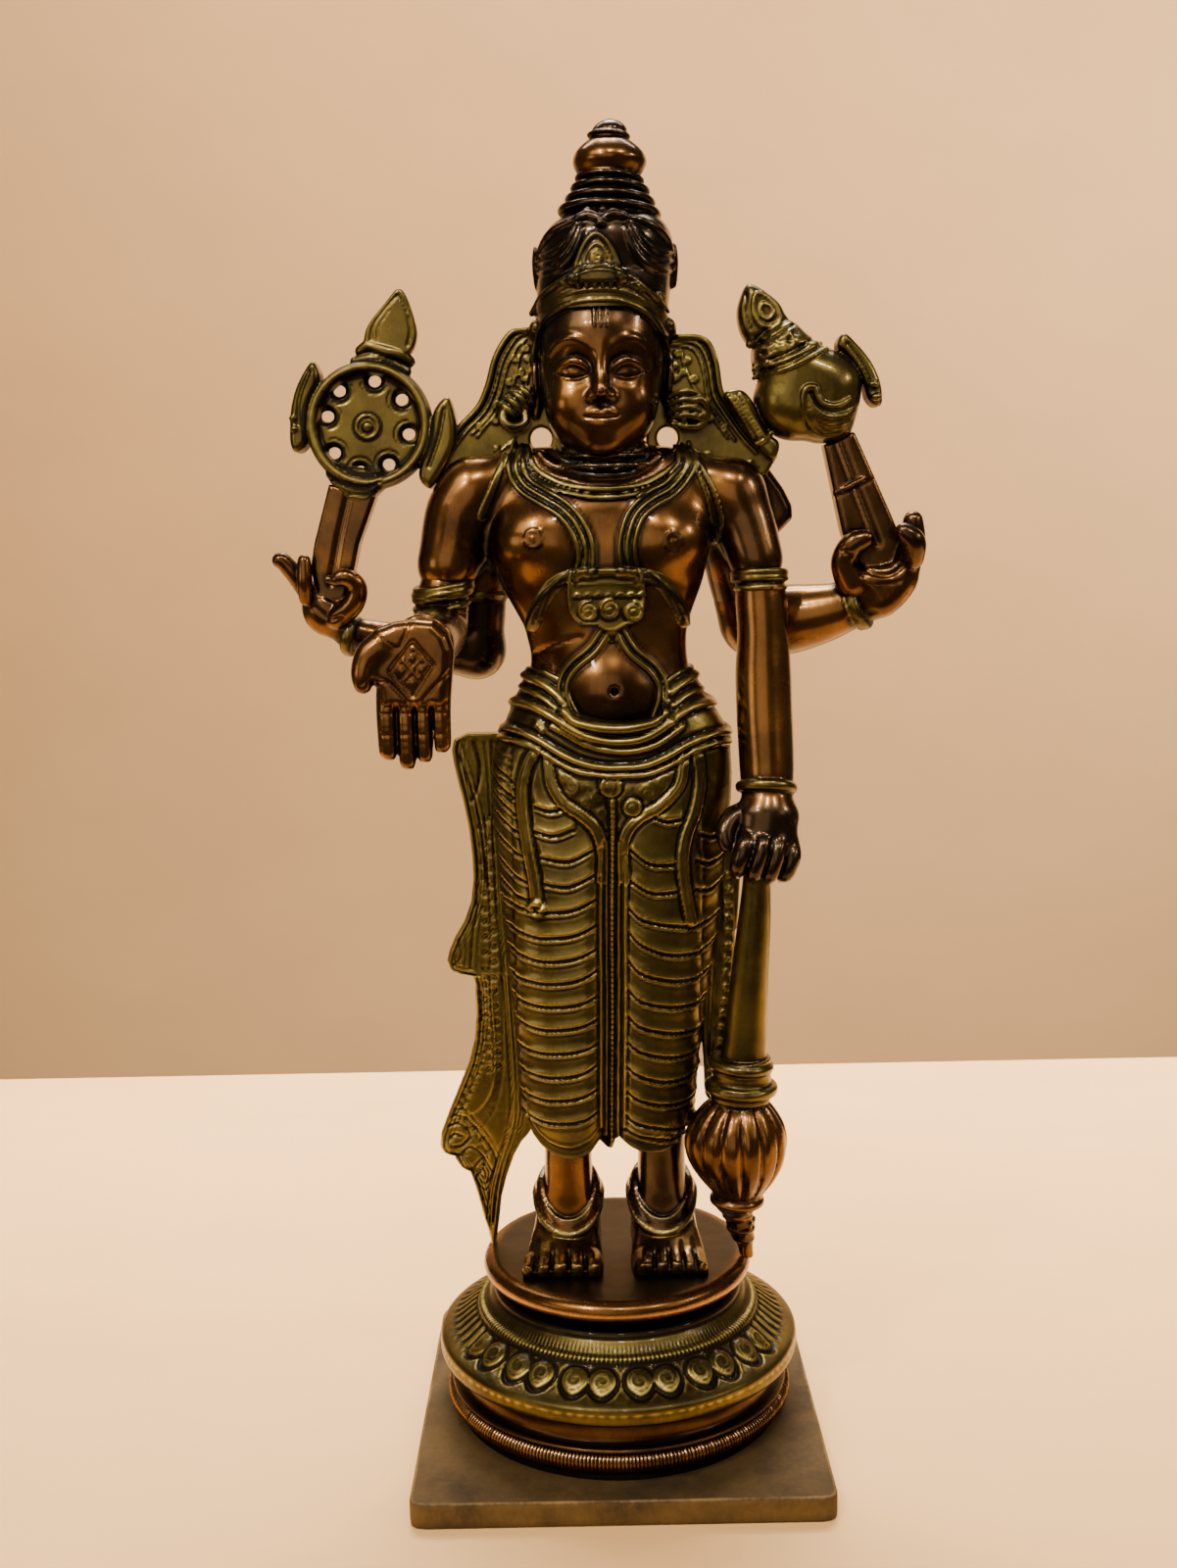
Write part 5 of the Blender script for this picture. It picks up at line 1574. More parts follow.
def makeShawl():
    cuts, ridges = [], []
    for off, depth, width in ((2.0, 0.75, 0.42), (3.2, 0.45, 0.32), (4.4, 0.3, 0.28)):
        cuts.append(([(x + off, z) for x, z in shawlLeft[1:-3]], depth, width))
    hem = [(-38.6, 252), (-38.6, 236), (-38.9, 220), (-38.6, 204), (-38.2, 190), (-37.4, 174.6),
        (-36.4, 156.1), (-35.6, 137.5), (-35.4, 122), (-36.8, 110), (-40.8, 98), (-43.8, 86), (-45.2, 74)]
    for off, depth, width in ((0, 0.8, 0.45), (-1.3, 0.5, 0.3), (-2.3, 0.6, 0.35), (1.6, 0.5, 0.35),
            (2.8, 0.4, 0.3)):
        cuts.append(([(x + off, z) for x, z in hem], depth, width))
    cuts += [([(-53.4, 250), (-50, 240), (-46.6, 228), (-44.6, 214), (-43.6, 200)], 0.7, 0.45),
        ([(-51.4, 251), (-48.4, 241), (-45.2, 229), (-43, 214)], 0.45, 0.35),
        ([(-47, 251.6), (-45.2, 243), (-46.2, 236), (-48.4, 231)], 0.6, 0.6),
        ([(-43.4, 251.6), (-42.4, 240), (-42, 226)], 0.4, 0.35),
        ([(-48.6, 206), (-47.4, 194), (-49.6, 182), (-50.8, 171)], 0.65, 0.45),
        ([(-47.4, 206), (-46.2, 194), (-47.6, 181), (-48.6, 169)], 0.4, 0.3),
        ([(-57.4, 171.8), (-53, 170.4), (-50, 170.2)], 0.5, 0.35),
        ([(-54.8, 181), (-54, 175), (-56.4, 171.8)], 0.45, 0.35),
        ([(-52.6, 184), (-52, 176), (-53, 171)], 0.35, 0.3)]
    for i in range(7):  # soft folds that sweep to the lower corner
        t = i / 6
        cuts.append(([(-39.4 - 3.4 * t, 168 - 8 * t), (-39.6 - 2.8 * t, 148 - 4 * t),
            (-40.4 - 2.8 * t, 130 - 3 * t), (-44 - 4.4 * t, 117 + 0.4 * t),
            (-50.6 - 5.4 * t, 109 + 5 * t)], 0.35, 0.3))
    for line in scrolls([(-43.9, 226), (-43.6, 210), (-43.2, 196.7), (-43.2, 183), (-43.9, 169.1),
            (-43.7, 155.2), (-43.2, 141.1), (-43.6, 130)], 1.5, 34):
        cuts.append((line, 0.5, 0.3))
    for line in scrolls([(-46.9, 162), (-46.8, 154), (-47, 143), (-49, 133), (-53, 124), (-56, 117)], 1.0,
            24, -1):
        cuts.append((line, 0.4, 0.26))
    for line in scrolls([(-59, 117), (-53, 111.4), (-48.6, 105), (-46, 98)], 1.2, 10):
        cuts.append((line, 0.4, 0.28))
    cuts += [([(-60.8, 111.2), (-56.4, 112.4), (-52.6, 108.1), (-56, 103.8), (-60.6, 104.8),
        (-58.6, 108.4), (-55.8, 107.6)], 0.8, 0.45),
        ([(-62, 114.2), (-55.6, 115.2), (-48.6, 108), (-43.4, 98.4), (-46.6, 89.6)], 0.7, 0.4),
        ([(-60.6, 117), (-55, 117.6), (-47.2, 109.4), (-42, 99.6)], 0.45, 0.3),
        ([(-57.2, 99.6), (-52.6, 103.4), (-47.4, 98.2), (-51.4, 90.8)], 0.7, 0.4)]
    for share in (0.85, 0.55, 0.25):
        cuts.append(([(-48.4 + 4.4 * share, 93.6), (-48.2, 93.4 + 6.4 * share),
            (-48.4 - 4.0 * share, 93.2), (-47.4, 93.4 - 7.6 * share), (-48.4 + 4.4 * share, 93.6)], 0.7,
            0.36))
    cuts += [([(-48.6, 84), (-47, 79), (-45.8, 73)], 0.5, 0.4),
        ([(-43.6, 84.6), (-44.6, 80), (-45.2, 75)], 0.4, 0.35), ([(-46.2, 88), (-46.2, 80)], 0.4, 0.3)]

    def relief(x, z):
        h = np.zeros(x.shape)
        for line, depth, width in cuts:
            p = smooth(line, 5) if 2 < len(line) < 18 else np.array(line, float)
            h -= depth * bell(lineGap(p, x, z), width) * 0.9
        seam = np.interp(z, [70, 98, 122, 160, 204, 252], [-45, -40.6, -35.4, -36.6, -38.6, -38.6])
        h += 0.5 * bell(x - seam, 1.3)
        h += 0.9 * bell(np.hypot(x + 60.6, z - 104), 2.2) + 0.7 * bell(np.hypot(x + 54.6, z - 97), 1.8)
        return np.maximum(h, -1.1)

    return sheetGrid(shawlSpec, shawlLeft, shawlRight, 6, 4.1, relief)


stripSpec = {"name": "shawl_strip", "cell": 0.7, "low": (29, -9, 117), "high": (48, 4, 226), "middle": 30}


def makeStrip():
    clay = Clay(stripSpec)
    edge = [(35, 224), (42.4, 223), (45.9, 208), (45.4, 199), (44.4, 184), (43, 168), (41, 148),
        (38.6, 132), (34.2, 121.6), (32.6, 124), (31.4, 152), (33, 190)]
    clay.add(slab(edge, -2.5, 3.4, 1.3), 0, True)
    clay.freeze()
    for dx in (-2.6, 2.4):
        clay.engrave([(41.4 + dx, 208), (41.4 + dx, 196), (41.2 + dx, 182.7), (40 + dx, 164.4),
            (38.4 + dx, 146), (36.4 + dx, 134)], 0.4, 0.7)
    for i in range(15):
        t = i / 14
        x = np.interp(t, [0, 0.25, 0.5, 0.75, 1], [41.4, 41.4, 40.6, 39.2, 36.6])
        z = 204 - 70 * t
        clay.strand(spiral(x, z, 1.4, 1.2, 80 * i, (-1) ** i, 12), 0.42, 0.15, 1)
    clay.engrave([(37.6, 206), (37, 184), (35.6, 162), (34.4, 140)], 0.6, 0.9)
    return clay.mesh()


# mace

maceSpec = {"name": "mace", "cell": 0.8, "low": (22.5, -38, 64), "high": (64, 6, 216), "middle": -14}


def fluted(rows, lobes, share, phase):  # a body with lobes, rows of (z, x, y, radius)
    table = smooth(sorted(rows), 6)

    def gap(x, y, z):
        cx, cy, r = [np.interp(z, table[:, 0], table[:, k]).astype(np.float32) for k in (1, 2, 3)]
        dx, dy = x - cx, y - cy
        turn = np.arctan2(dx, -dy) - phase
        wave = np.abs(np.sin(turn * lobes / 2))
        lobe = 1 - share * (1 - np.minimum(wave * 1.25, 1) ** 0.55)
        return (np.sqrt(dx * dx + dy * dy) - r * lobe) * 0.8

    return (np.array([table[:, 1].min() - table[:, 3].max(), table[:, 2].min() - table[:, 3].max(),
        table[0, 0]]), np.array([table[:, 1].max() + table[:, 3].max(),
        table[:, 2].max() + table[:, 3].max(), table[-1, 0]]), gap)


def turned(rows):  # round and level, rows of (z, x, y, radius)
    return stacked([(z, x, y, r, r, r) for z, x, y, r in rows], 2)


def makeMace():
    clay = Clay(maceSpec)
    shaft = [(215, 50.4, -20.8, 4.6), (203, 49.7, -20.2, 4.9), (190, 48.9, -19.6, 5.7),
        (170, 47.2, -18.8, 6.6), (155, 46.2, -18.2, 7.3), (141, 45.2, -17.6, 8.1)]
    clay.add(turned(shaft), 0, True)
    clay.add(turned(((142, 44.8, -17.6, 10), (138, 44.4, -17.2, 10), (130, 44.4, -17, 10.6),
        (124, 43.4, -16.2, 8.6))), 0, True)
    clay.add(hoop((44.2, -17.2, 139.2), (0.1, 0, 1), 9.7, 1.9, 1.0), 0.5, True)
    clay.add(hoop((44.1, -17.2, 136.2), (0.1, 0, 1), 9.4, 1.0, 1.0), 0.5, True)
    clay.add(hoop((44.3, -16.9, 131), (0.05, 0, 1), 10.9, 2.0, 1.15), 0.8, True)
    clay.add(hoop((44, -16.7, 127.4), (0.05, 0, 1), 9.2, 1.5, 1.0), 0.8, True)
    clay.engrave([(31, 133.2), (44, 131.6), (57, 133.6)], 0.35, 0.4)
    head = [(127.4, 43.6, -16.4, 7), (125.4, 43.4, -16.2, 10.4), (122, 43, -16, 13.6),
        (117, 42.6, -15.6, 16.8), (112, 42.5, -15.4, 18.1), (107, 42.5, -15.2, 17.8),
        (102, 42.8, -15, 16.2), (97.4, 43.1, -14.8, 13.6), (93.6, 43.3, -14.6, 10.8),
        (90.6, 43.4, -14.4, 8.4), (88.6, 43.4, -14.4, 7)]
    clay.add(fluted(head, 14, 0.11, math.radians(2.3)))
    clay.add(hoop((42.9, -14, 88.4), (0.05, 0, 1), 8.2, 1.6, 1.0), 0.8)
    clay.add(turned(((91, 43.2, -14.2, 8), (88, 42.9, -14, 8.8), (85, 42.6, -13.6, 6.8),
        (82.6, 43, -13.2, 5), (79.4, 43.8, -12.6, 4.6), (76, 44.5, -12, 4.6), (73, 45.2, -11.6, 3.8),
        (70, 46, -11.2, 2.8), (65.4, 46.6, -10.8, 2.4))), 0.6)
    clay.add([hoop((43.2, -13, 82.2), (0, 0, 1), 4.8, 0.9), hoop((44.4, -12, 77), (0, 0, 1), 4.3, 1.0),
        hoop((45.4, -11.6, 73), (0, 0, 1), 3.4, 0.8)], 0.4)
    for a in range(6):
        t = math.radians(60 * a + 10)
        clay.add(egg((44.4 + 4.4 * math.cos(t), -12 + 4.4 * math.sin(t), 79.6), (1.2, 1.2, 1.5)), 0.4)
    return clay.mesh(lambda p: 0.9 * fade(84 - p[:, 2], 4) * fade(p[:, 2] - 69, 3))


# feet with their anklets

def wedge(rows, floorZ):  # a foot: rows of (y, middle x, half width, top)
    table = np.array(sorted(rows), float)

    def gap(x, y, z):
        cx, w, top = [np.interp(y, table[:, 0], table[:, k]).astype(np.float32) for k in (1, 2, 3)]
        side = np.abs(x - cx) - w + np.clip((z - floorZ) * 0.1, 0, 1.6)
        out = -softMin(-side, -(z - top - 0.004 * (x - cx) ** 2 * -6) * 0.9, 3.0)
        out = np.maximum(out, np.maximum(table[0, 0] - y, y - table[-1, 0]))
        return np.maximum(out, floorZ - z)

    return (np.array([(table[:, 1] - table[:, 2]).min(), table[0, 0], floorZ]),
        np.array([(table[:, 1] + table[:, 2]).max(), table[-1, 0], table[:, 3].max()]), gap)


footSpecs = [{"name": "foot_left", "cell": 0.8, "low": (-36, -29, 64.6), "high": (-2.5, 23, 118),
    "middle": -4, "ankle": -17, "dull": 0.0,
    "rows": [(-25.4, -19.4, 14.6, 70.4), (-21, -19.2, 14.4, 71.6), (-14, -18.8, 14.0, 75),
    (-8, -18.5, 13.2, 78.6), (0, -18, 12.2, 82), (10, -17.3, 9.8, 84), (19.6, -17, 6.6, 80)],
    "toes": [(-32, 2.3), (-26.6, 2.7), (-20.3, 3.0), (-14.1, 3.1), (-8, 3.4)],
    "slots": (-29.3, -23.5, -17.2, -11.2)},
    {"name": "foot_right", "cell": 0.8, "low": (2.5, -29, 64.6), "high": (35.5, 23, 118), "middle": -4,
    "ankle": 16.8, "dull": 1.0, "rows": [(-25.4, 18.5, 14, 70.4), (-21, 18.5, 13.8, 71.6),
    (-14, 18.2, 13.6, 75), (-8, 17.9, 12.8, 78.6), (0, 17.4, 12, 82), (10, 16.9, 9.8, 84),
    (19.6, 16.8, 6.6, 80)], "toes": [(8.9, 3.4), (15.6, 3.0), (20.9, 2.8), (25.6, 2.6), (30, 2.3)],
    "slots": (12.9, 18.2, 23.3, 27.8)}]


def makeFoot(spec):
    clay = Clay(spec)
    x = spec["ankle"]
    clay.add(wedge(spec["rows"], soleHeight))
    clay.add(stacked([(120, x - 1, -1, 10.4, 11, 11), (108, x, -0.6, 8.7, 9.4, 10),
        (99, x, -0.4, 8.5, 9.2, 10), (90, x, -0.2, 8.9, 9.5, 10.6), (84, x, 0.4, 10, 10.4, 12),
        (78, x, 1.4, 11, 11.4, 14), (70, x, 2, 11, 12, 15)], 2.0), 3)
    for tx, r in spec["toes"]:
        clay.add(rope([(x + 0.95 * (tx - x), -18, 69.0), (x + 0.97 * (tx - x), -27 + r, 67.9)],
            [r * 0.8, r * 0.95]), 2.0)
    for sx in spec["slots"]:  # between the toes
        for drop in (0, 1.2, 2.4):
            line = [(x + 0.89 * (sx - x), -18.2, 74.2 - drop), (x + 0.93 * (sx - x), -21, 72.4 - drop),
                (sx, -28, 70.4 - drop)]
            clay.add(rope(line, [0.2, 0.6, 0.75]), 0.3, cut=True)
        clay.shade([(x + 0.9 * (sx - x), 73.4), (x + 0.95 * (sx - x), 70.8), (sx, 67)], 0.8, share=0.95)
    nails = [clay.frontOf([(tx, 69.0)], -1)[0] for tx, r in spec["toes"]]
    for (tx, r), (nx, ny, nz) in zip(spec["toes"], nails):
        clay.add(egg((tx, ny + 0.8, nz + 0.3), (r * 0.5, 1.1, 1.3)), 0.1)
    for radius, up, tube, brass in ((7.2, 0.4, 2.8, False), (8.6, 0.8, 2.8, False),
            (9.6, -1.2, 2.5, False), (11.7, -1.6, 1.1, True), (9.9, 3.4, 0.6, True),
            (11.2, -4.2, 0.6, True)):
        ring = []
        for a in np.linspace(0, 2 * math.pi, 24, endpoint=False):
            c, s = math.cos(a), math.sin(a)
            fall = 11 if s > 0 else 4
            ring.append((x - 0.2 + (radius + 0.4) * c, 0.6 - (radius + 2.2) * s, 88.0 - fall * s + up))
        clay.add(rope(ring, tube, 2, True), 0.35, brass)

    def dull(p):
        z = p[:, 2]
        return spec["dull"] * 0.95 * fade(z - 76, 4) + 0.25 * (z < 92) * (z > 75) + 0.7 * fade(z - 99, 6)

    return clay.mesh(dull, lambda p: 0.45 * (p[:, 2] < 79) * (p[:, 1] < -4), worn=0.7)


figureMakers = [makeHead, makeCrown, makeChest, makeTorso, makeGivingArm, makeMaceArm, makeRearLeft,
    makeDiscus, makeRearRight, makeConch, *[partial(makeWing, spec) for spec in wingSpecs], makeSkirt,
    makeShawl, makeStrip, makeMace, *[partial(makeFoot, spec) for spec in footSpecs]]
for make in figureMakers:
    finishPiece(make(), "figure", figureMetal)


# plinth

def turnedGrid(spec, profile, columns, steps, relief=None, layers=None, caps=(False, False)):
    soft = smooth(profile, 6)
    run = np.concatenate([[0], np.cumsum(np.hypot(*np.diff(soft, axis=0).T))])
    p = np.stack([np.interp(np.linspace(0, run[-1], steps), run, column) for column in soft.T], -1)
    turn = np.linspace(0, 2 * math.pi, columns, endpoint=False) - math.pi / 2
    r, z = p[:, 0][:, None] + 0 * turn, p[:, 1][:, None] + 0 * turn
    n = -across(p)
    h = np.zeros(r.shape) if relief is None else relief(r, z, turn[None, :])
    rr, zz = r + h * n[:, :1], z + h * n[:, 1:]
    rings = np.stack([rr * np.cos(turn), rr * np.sin(turn), zz], -1)
    wide, far = blurred(h, 2), blurred(h, 6)
    given = {"hollow": fade(wide - h, 0.5) * 0.6 + fade(far - h, 1.1) * 0.5, "edge": fade(h - wide, 0.45),
        "brass": 0.0, "dull": 0.0}
    for name, values in (layers(r, z, turn[None, :], h) if layers else {}).items():
        given[name] = np.clip(given[name] + values, 0, 1) if name in ("hollow", "edge") else values
    return gridMesh(spec, rings, given, *caps)


plateSpec = {"name": "plinth_plate", "rides": "plinth"}


def makePlate():
    half, corner, columns = 71.0, 4.6, 248
    turn = np.linspace(0, 2 * math.pi, columns, endpoint=False) + math.pi / columns
    rows = [(-60, 0.15), (-2.0, 0.0), (-0.9, 0.1), (-0.25, 0.5), (0, 1.2), (0, 3), (0, 5), (0, 7),
        (-0.05, 7.9), (-0.3, 8.5), (-0.75, 8.88), (-1.4, 9.0), (-4, 9.02), (-8, 9.0), (-14, 9.0)]
    rubbed = {-0.05: 0.15, -0.3: 0.5, -0.75: 0.65, -1.4: 0.2}  # edge wear by the row's inset
    rings, edge, hollow = [], [], []
    for inset, z in rows:
        h, c = half + max(inset, -14), corner + max(inset, -14) * 0.5
        c = max(c, 0.6)
        x, y = np.cos(turn), np.sin(turn)
        flat = np.stack([x, y], -1) / np.maximum(np.abs(x), np.abs(y))[:, None] * h
        over = np.clip(np.abs(flat) - (h - c), 0, None)
        both = (over > 0).all(1)
        length = np.hypot(*over.T)
        corners = np.sign(flat) * ((h - c) + over / (length[:, None] + 1e-9) * c)
        rounded = np.where(both[:, None], corners, flat)
        if inset < -20:
            rounded = rounded * 0.3
        rings.append(np.column_stack([rounded, np.full(columns, z)]))
        edge.append(np.full(columns, rubbed.get(inset, 0)))
        hollow.append(np.full(columns, 0.18 if z < 8 else 0.28))
    wave = 0.5 + 0.5 * np.sin(np.arange(columns) * 0.37) * np.sin(np.arange(columns) * 0.11 + 1)
    for radius, z in ((55, 9.0), (50, 9.0)):
        rings.append(np.column_stack([radius * np.cos(turn), radius * np.sin(turn), np.full(columns, z)]))
        edge.append(np.zeros(columns))
        hollow.append(np.full(columns, 0.26))
    edge = np.array(edge) * (0.55 + 0.45 * wave)
    layers = {"hollow": np.array(hollow), "edge": edge, "brass": 0.5, "dull": 0.0}
    return gridMesh(plateSpec, np.array(rings), layers, True, False)


ringSpec = {"name": "plinth_reeded_ring", "rides": "plinth", "reeds": 300}
ringLine = [(58.8, 8.9), (58.7, 9.8), (58.3, 10.6), (58.2, 12.4), (59.4, 13.1)] + arc(59.1, 16, 3.4, 3.3,
    np.radians([-50, -25, 0, 25, 50, 75, 100])) + [(57.2, 19.4)]


def ringRelief(r, z, turn):
    return 0.22 * np.cos(turn * ringSpec["reeds"]) * fade(z - 12.8, 0.8) * fade(19.4 - z, 0.6)


def ringLayers(r, z, turn, h):
    hollow = 0.25 * fade(14.5 - z, 2.5) + 0.5 * (z < 12.9) + 0.35 * (h < 0)
    return {"edge": 0.9 * fade(z - 17.2, 1.2) * (h > 0), "hollow": hollow, "brass": 0.15,
        "dull": 0.7 * (z < 12.6)}


drumSpec = {"name": "plinth_drum", "rides": "plinth"}
drumLine = [(56, 19.2), (59.6, 19.3), (61, 19.7), (61.2, 20.5), (60.4, 21), (58.6, 21.5), (57.5, 22.6),
    (57.1, 24.6), (57.2, 26.6), (57.8, 28.8), (59, 30.4), (61.5, 31.6)]


def drumLayers(r, z, turn, h):
    hollow = 0.28 + 0.4 * fade(z - 28.0, 2) + 0.3 * bell(z - 21.6, 0.5)
    return {"edge": 0.3 * bell(z - 20.2, 0.5), "hollow": hollow, "brass": 0.2}


lotusSpec = {"name": "plinth_lotus", "rides": "plinth", "pairs": 16}
lotusLine = [(60.4, 31.2), (62.6, 30.7), (64.4, 31.2), (65.1, 32.6), (65.2, 34.2), (64.9, 35.4),
    (65.0, 36.2), (64.5, 37.2), (63.6, 37.9), (62, 38.7), (59, 39.9), (57, 41.2), (54, 43.6), (52, 45.2),
    (51.2, 46.3), (50.7, 47.4), (50.1, 48.1), (49.3, 48.2), (48.6, 48.4), (46.6, 50.6), (45.4, 52.4),
    (44.8, 53.8), (44, 54.4), (43, 54.5), (41, 54.2)]


def lotusRelief(r, z, turn):
    pitch = 2 * math.pi / lotusSpec["pairs"]
    front = (turn + math.pi / 2 + math.pi) % (2 * math.pi) - math.pi  # 0 at the front
    local = (front % pitch) - pitch / 2
    h = np.zeros(np.broadcast(r, turn).shape)
    face = fade(np.radians(64) - np.abs(front), 0.02)
    slope = fade(z - 38.2, 1) * fade(46.4 - z, 1)
    run = (z - 42.3) * 1.6
    best = np.full(h.shape, 9.0)
    for side in (-1, 1):
        u = (local - side * math.radians(4.85)) * r
        v = -run
        away = np.hypot(u * 0.98, v)
        gap = away - 4.7
        lobe = fade(-gap, 1.3)
        swirl = np.cos(away * 2 * math.pi / 1.9 + side * np.arctan2(v, u))
        petal = 1.05 * np.sqrt(lobe) * (0.75 + 0.25 * fade(44.4 - z, 3))
        petal = petal + 0.15 * swirl * fade(-gap - 1.3, 1)
        h += face * (petal - 0.3 * bell(gap + 1.25, 0.3))
        best = np.minimum(best, gap)
    moat = (0.1 + 0.7 * fade(43.4 - z, 3)) * bell(best - 0.6, 0.42)
    h += face * (0.25 * bell(best - 1.8, 0.45) * slope - moat)
    edgeAway = np.abs(np.abs(local) - pitch / 2) * r
    leaf = edgeAway - 2.0 * fade(42 - z, 2.6)
    h += face * slope * 0.3 * np.clip(-leaf / 0.5 + 1, 0, 1) * (best > 1.4) * (z < 42)
    strokes = np.cos(front * 75)
    strokes = 0.5 * np.sign(strokes) * np.abs(strokes) ** 0.4 - 0.1
    h += (1 - face) * fade(z - 39, 1) * fade(45.8 - z, 1) * strokes
    h += 0.28 * np.cos(front * 200) * bell(z - 47.7, 0.7)
    h += 0.14 * np.cos(front * 200) * fade(z - 48.6, 0.8) * fade(51 - z, 1.4) * (r < 49.4)
    h += 0.03 * np.sin(front * 97 + 2 * np.sin(front * 11)) * bell(z - 34, 2)
    h -= 0.4 * bell(z - 46.2, 0.35)
    h -= 0.4 * bell(z - 52.4, 0.3)
    return h


def lotusLayers(r, z, turn, h):
    dash = 0.5 + 0.5 * np.sin(turn * 97 + 2 * np.sin(turn * 11))
    lip = 0.8 * bell(z - 35.2, 0.6) * (0.35 + 0.65 * dash) + 0.12 * bell(z - 34.2, 1.5)
    hollow = 0.1 + 0.16 * (z > 36.4) + 0.5 * fade(32.4 - z, 1.4) + 0.35 * fade(z - 53, 1.4)
    return {"brass": np.ones(h.shape), "edge": lip + 0.45 * bell(z - 48, 0.5), "hollow": hollow}


discSpec = {"name": "plinth_foot_disc", "rides": "plinth"}
discLine = [(42.5, 53.6), (40.6, 54.2), (39.2, 55.4), (38.6, 57), (39.2, 58.2), (42, 58.7), (45.6, 58.9),
    (47.6, 59.7), (48.5, 61.2), (48.5, 62.9), (47.7, 64.6), (46.2, 65.6), (44.4, 66.0), (41, 66.05),
    (36, 66.0), (28, 66.0), (20, 66.0), (12, 66.0), (4, 66.0)]


def discRelief(r, z, turn):
    return 0.08 * np.sin(turn * 7) * np.cos(turn * 3 + 1) * fade(r - 30, 10) + 0 * z


def discLayers(r, z, turn, h):
    inner = fade(45.5 - r, 3)
    dull = inner * (z > 65) * (0.85 + 0.15 * fade(np.sin(turn) * r + 44, 24))
    hollow = 0.12 + 0.28 * (z > 65.9) * inner + 0.3 * fade(59 - z, 1)
    return {"edge": 0.95 * bell(z - 61.4, 1.5) * (r > 46), "dull": dull, "hollow": hollow,
        "brass": 0.15 * (z > 60)}


for piece, material in ((makePlate(), plateMetal),
        (turnedGrid(ringSpec, ringLine, 1200, 12, ringRelief, ringLayers), plinthMetal),
        (turnedGrid(drumSpec, drumLine, 192, 26, None, drumLayers), plinthMetal),
        (turnedGrid(lotusSpec, lotusLine, 720, 54, lotusRelief, lotusLayers), plinthMetal),
        (turnedGrid(discSpec, discLine, 192, 48, discRelief, discLayers, (False, True)), plinthMetal)):
    finishPiece(piece, "plinth", material)


# floor, wall, light and camera

def plain(name, tint, rough, flecks):  # stone or plaster, with soft clouds of 90 mm
    material = bpy.data.materials.new(name)
    material.use_nodes = True
    tree = material.node_tree
    place = addNode(tree, "TexCoord", {}, {}, "Object")
    cloud = addNode(tree, "TexNoise", {},
        {"Vector": place, "Scale": 1 / (90 * mm), "Detail": 5, "Roughness": 0.6})
    dark, light = (tuple(min(1, v * s) for v in colour(tint)[:3]) + (1,) for s in (1 - flecks, 1 + flecks))
    share = addNode(tree, "MapRange", {}, [cloud, 0.35, 0.65])
    base = addNode(tree, "Mix", {"data_type": "RGBA"}, {0: share, 6: dark, 7: light}, 2)
    plug(tree, tree.nodes["Principled BSDF"], {"Base Color": base, "Roughness": rough})
    return material


def stagePlane(name, size, place, turn, material):
    bpy.ops.mesh.primitive_plane_add(size=1, location=place, rotation=turn)
    plane = bpy.context.object
    plane.name = name
    plane.scale = (size[0], size[1], 1)
    plane.data.materials.append(material)


stagePlane("floor", (1.8, 0.65), (0, 0.085, 0), (0, 0, 0), plain("paleStone", "f0c68a", 0.6, 0.03))
stagePlane("wall", (2.6, 1.7), (0, 1.3, 0.35), (math.pi / 2, 0, 0),
    plain("beigePlaster", "dab07c", 0.95, 0.03))


def softLight(name, place, target, size, power, tint="ffe9cf"):
    data = bpy.data.lights.new(name, "AREA")
    data.shape = "RECTANGLE"
    data.size, data.size_y = size
    data.energy = power
    data.color = colour(tint)[:3]
    lamp = bpy.data.objects.new(name, data)
    bpy.context.scene.collection.objects.link(lamp)
    lamp.location = place
    lamp.rotation_euler = (Vector(target) - Vector(place)).to_track_quat("-Z", "Y").to_euler()
    return lamp


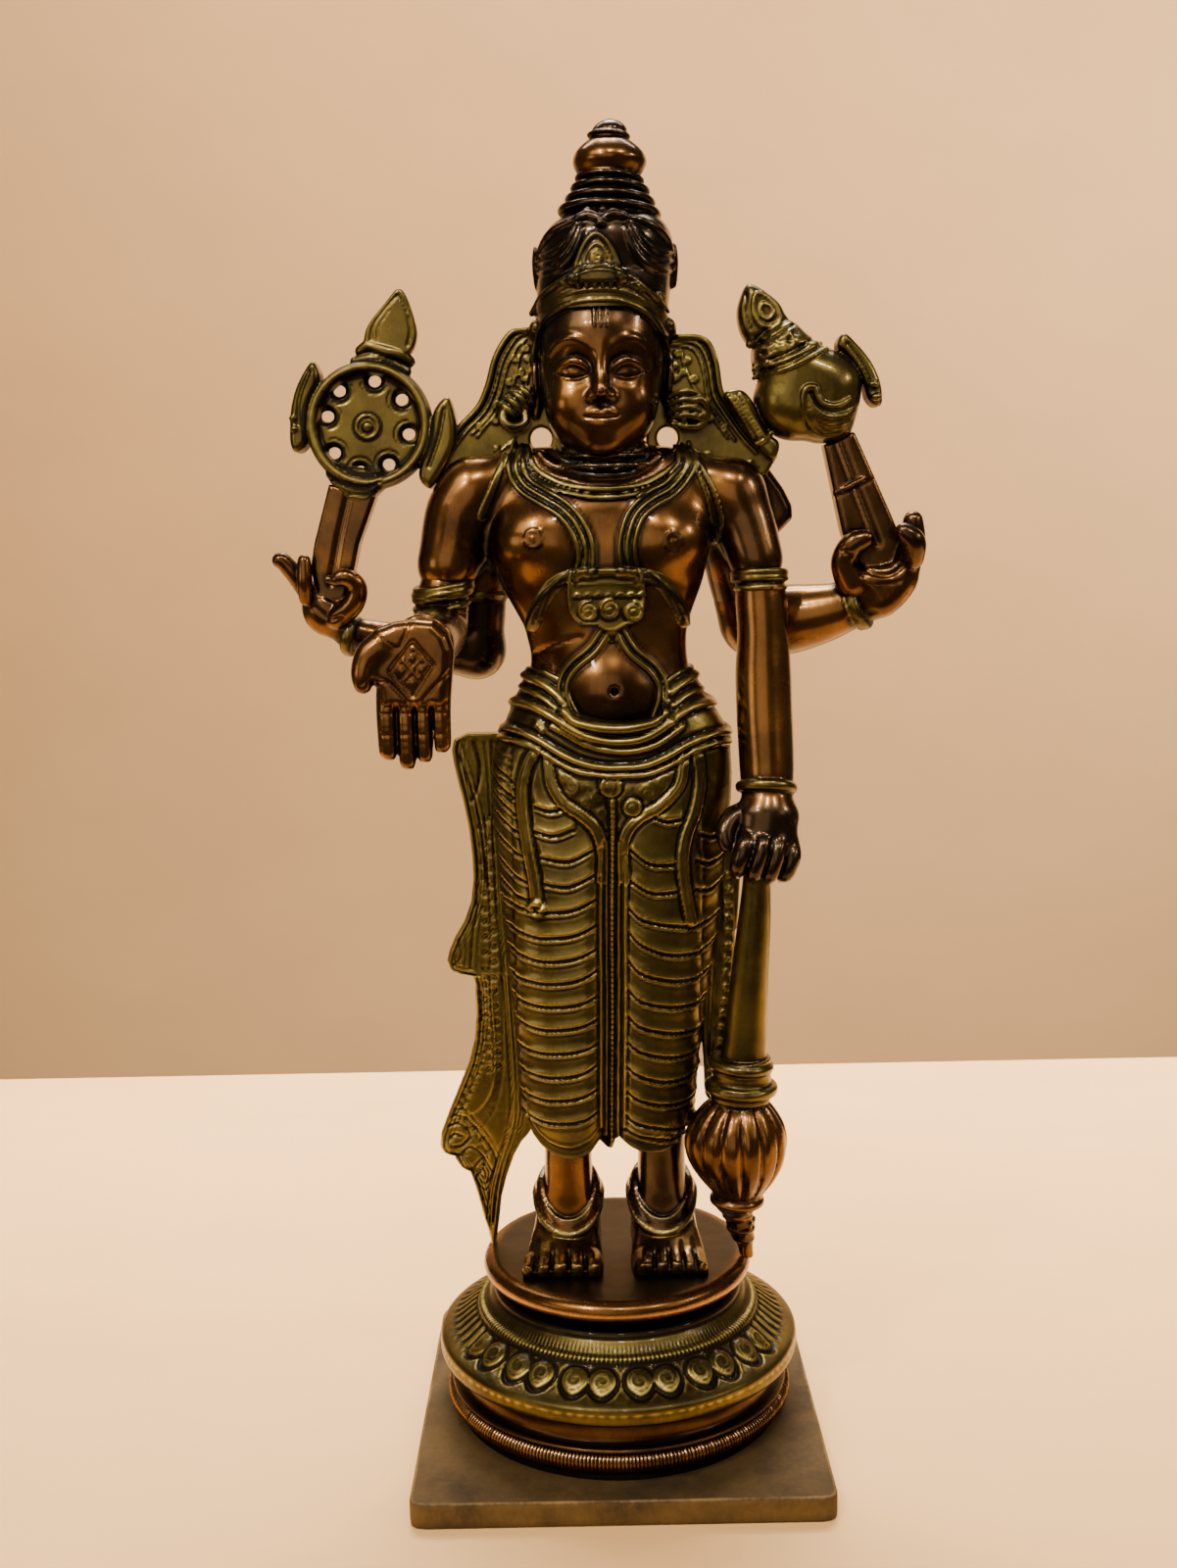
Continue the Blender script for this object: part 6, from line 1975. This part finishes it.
# small lamps for the sharp lights, panels for the broad ones, washes for the room
softLight("lampLeft", (-0.55, -0.85, 1.45), (0, 0, 0.3), (0.08, 0.08), 9.5)
softLight("lampLow", (-0.42, -0.8, 0.95), (0, 0, 0.3), (0.06, 0.06), 3)
softLight("lampMiddle", (0.06, -1.0, 1.5), (0, 0, 0.25), (0.08, 0.08), 8)
softLight("lampRight", (0.6, -0.8, 1.3), (0, 0, 0.28), (0.07, 0.07), 4.6)
softLight("lampFar", (0.95, -0.35, 0.8), (0, 0, 0.3), (0.08, 0.12), 2.5)
softLight("frontPanel", (-0.35, -1.7, 0.62), (0, 0, 0.3), (1.3, 1.1), 5, "ffdfb4")
softLight("leftPanel", (-0.85, -0.8, 1.2), (0, 0, 0.3), (0.6, 0.6), 5, "ffdfb4")
softLight("sidePanel", (-1.1, -0.75, 0.4), (0, 0, 0.3), (0.4, 0.4), 1.8, "ffdfb4")
softLight("rightPanel", (0.95, -0.8, 0.75), (0, 0, 0.2), (0.35, 0.35), 0.8, "ffdfb4")
softLight("ceiling", (0, 0.42, 1.3), (0, 0.32, 0.0), (0.3, 0.3), 8)
softLight("floorWash", (0.15, 0.5, 0.85), (0.15, 0.34, 0.0), (1.6, 0.1), 10).data.spread = math.radians(75)
softLight("wallWash", (0, 0.65, 1.5), (0, 1.3, 0.15), (1.6, 0.2), 18, "fff0e0")
softLight("wallRight", (0.95, 0.7, 0.7), (0.72, 1.3, 0.45), (0.8, 0.8), 10, "fff0e0")
softLight("wallLow", (0, 0.75, -0.35), (0, 1.3, 0.1), (1.6, 0.2), 3, "fff0e0")
world = bpy.data.worlds.new("room")
world.use_nodes = True
world.node_tree.nodes["Background"].inputs["Color"].default_value = colour("6e5f4e")
world.node_tree.nodes["Background"].inputs["Strength"].default_value = 0.75
bpy.context.scene.world = world

cameraPlace = (-0.00706, -0.56794, 0.31813)  # fitted to the plate's corners and the plinth's circles
cameraDown, cameraRoll = 8.14, -1.1  # degrees
lensLength = 37.476  # mm on a picture 36 mm high
camera = bpy.data.objects.new("camera", bpy.data.cameras.new("camera"))
bpy.context.scene.collection.objects.link(camera)
camera.data.sensor_fit = "VERTICAL"
camera.data.sensor_width = camera.data.sensor_height = 36
camera.data.lens = lensLength
down = Matrix.Rotation(math.radians(90 - cameraDown), 4, "X")
roll = Matrix.Rotation(math.radians(cameraRoll), 4, "Z")
camera.matrix_world = Matrix.Translation(cameraPlace) @ down @ roll
bpy.context.scene.camera = camera

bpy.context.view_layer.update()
say(f"scene built, {sum(counted)} triangles")
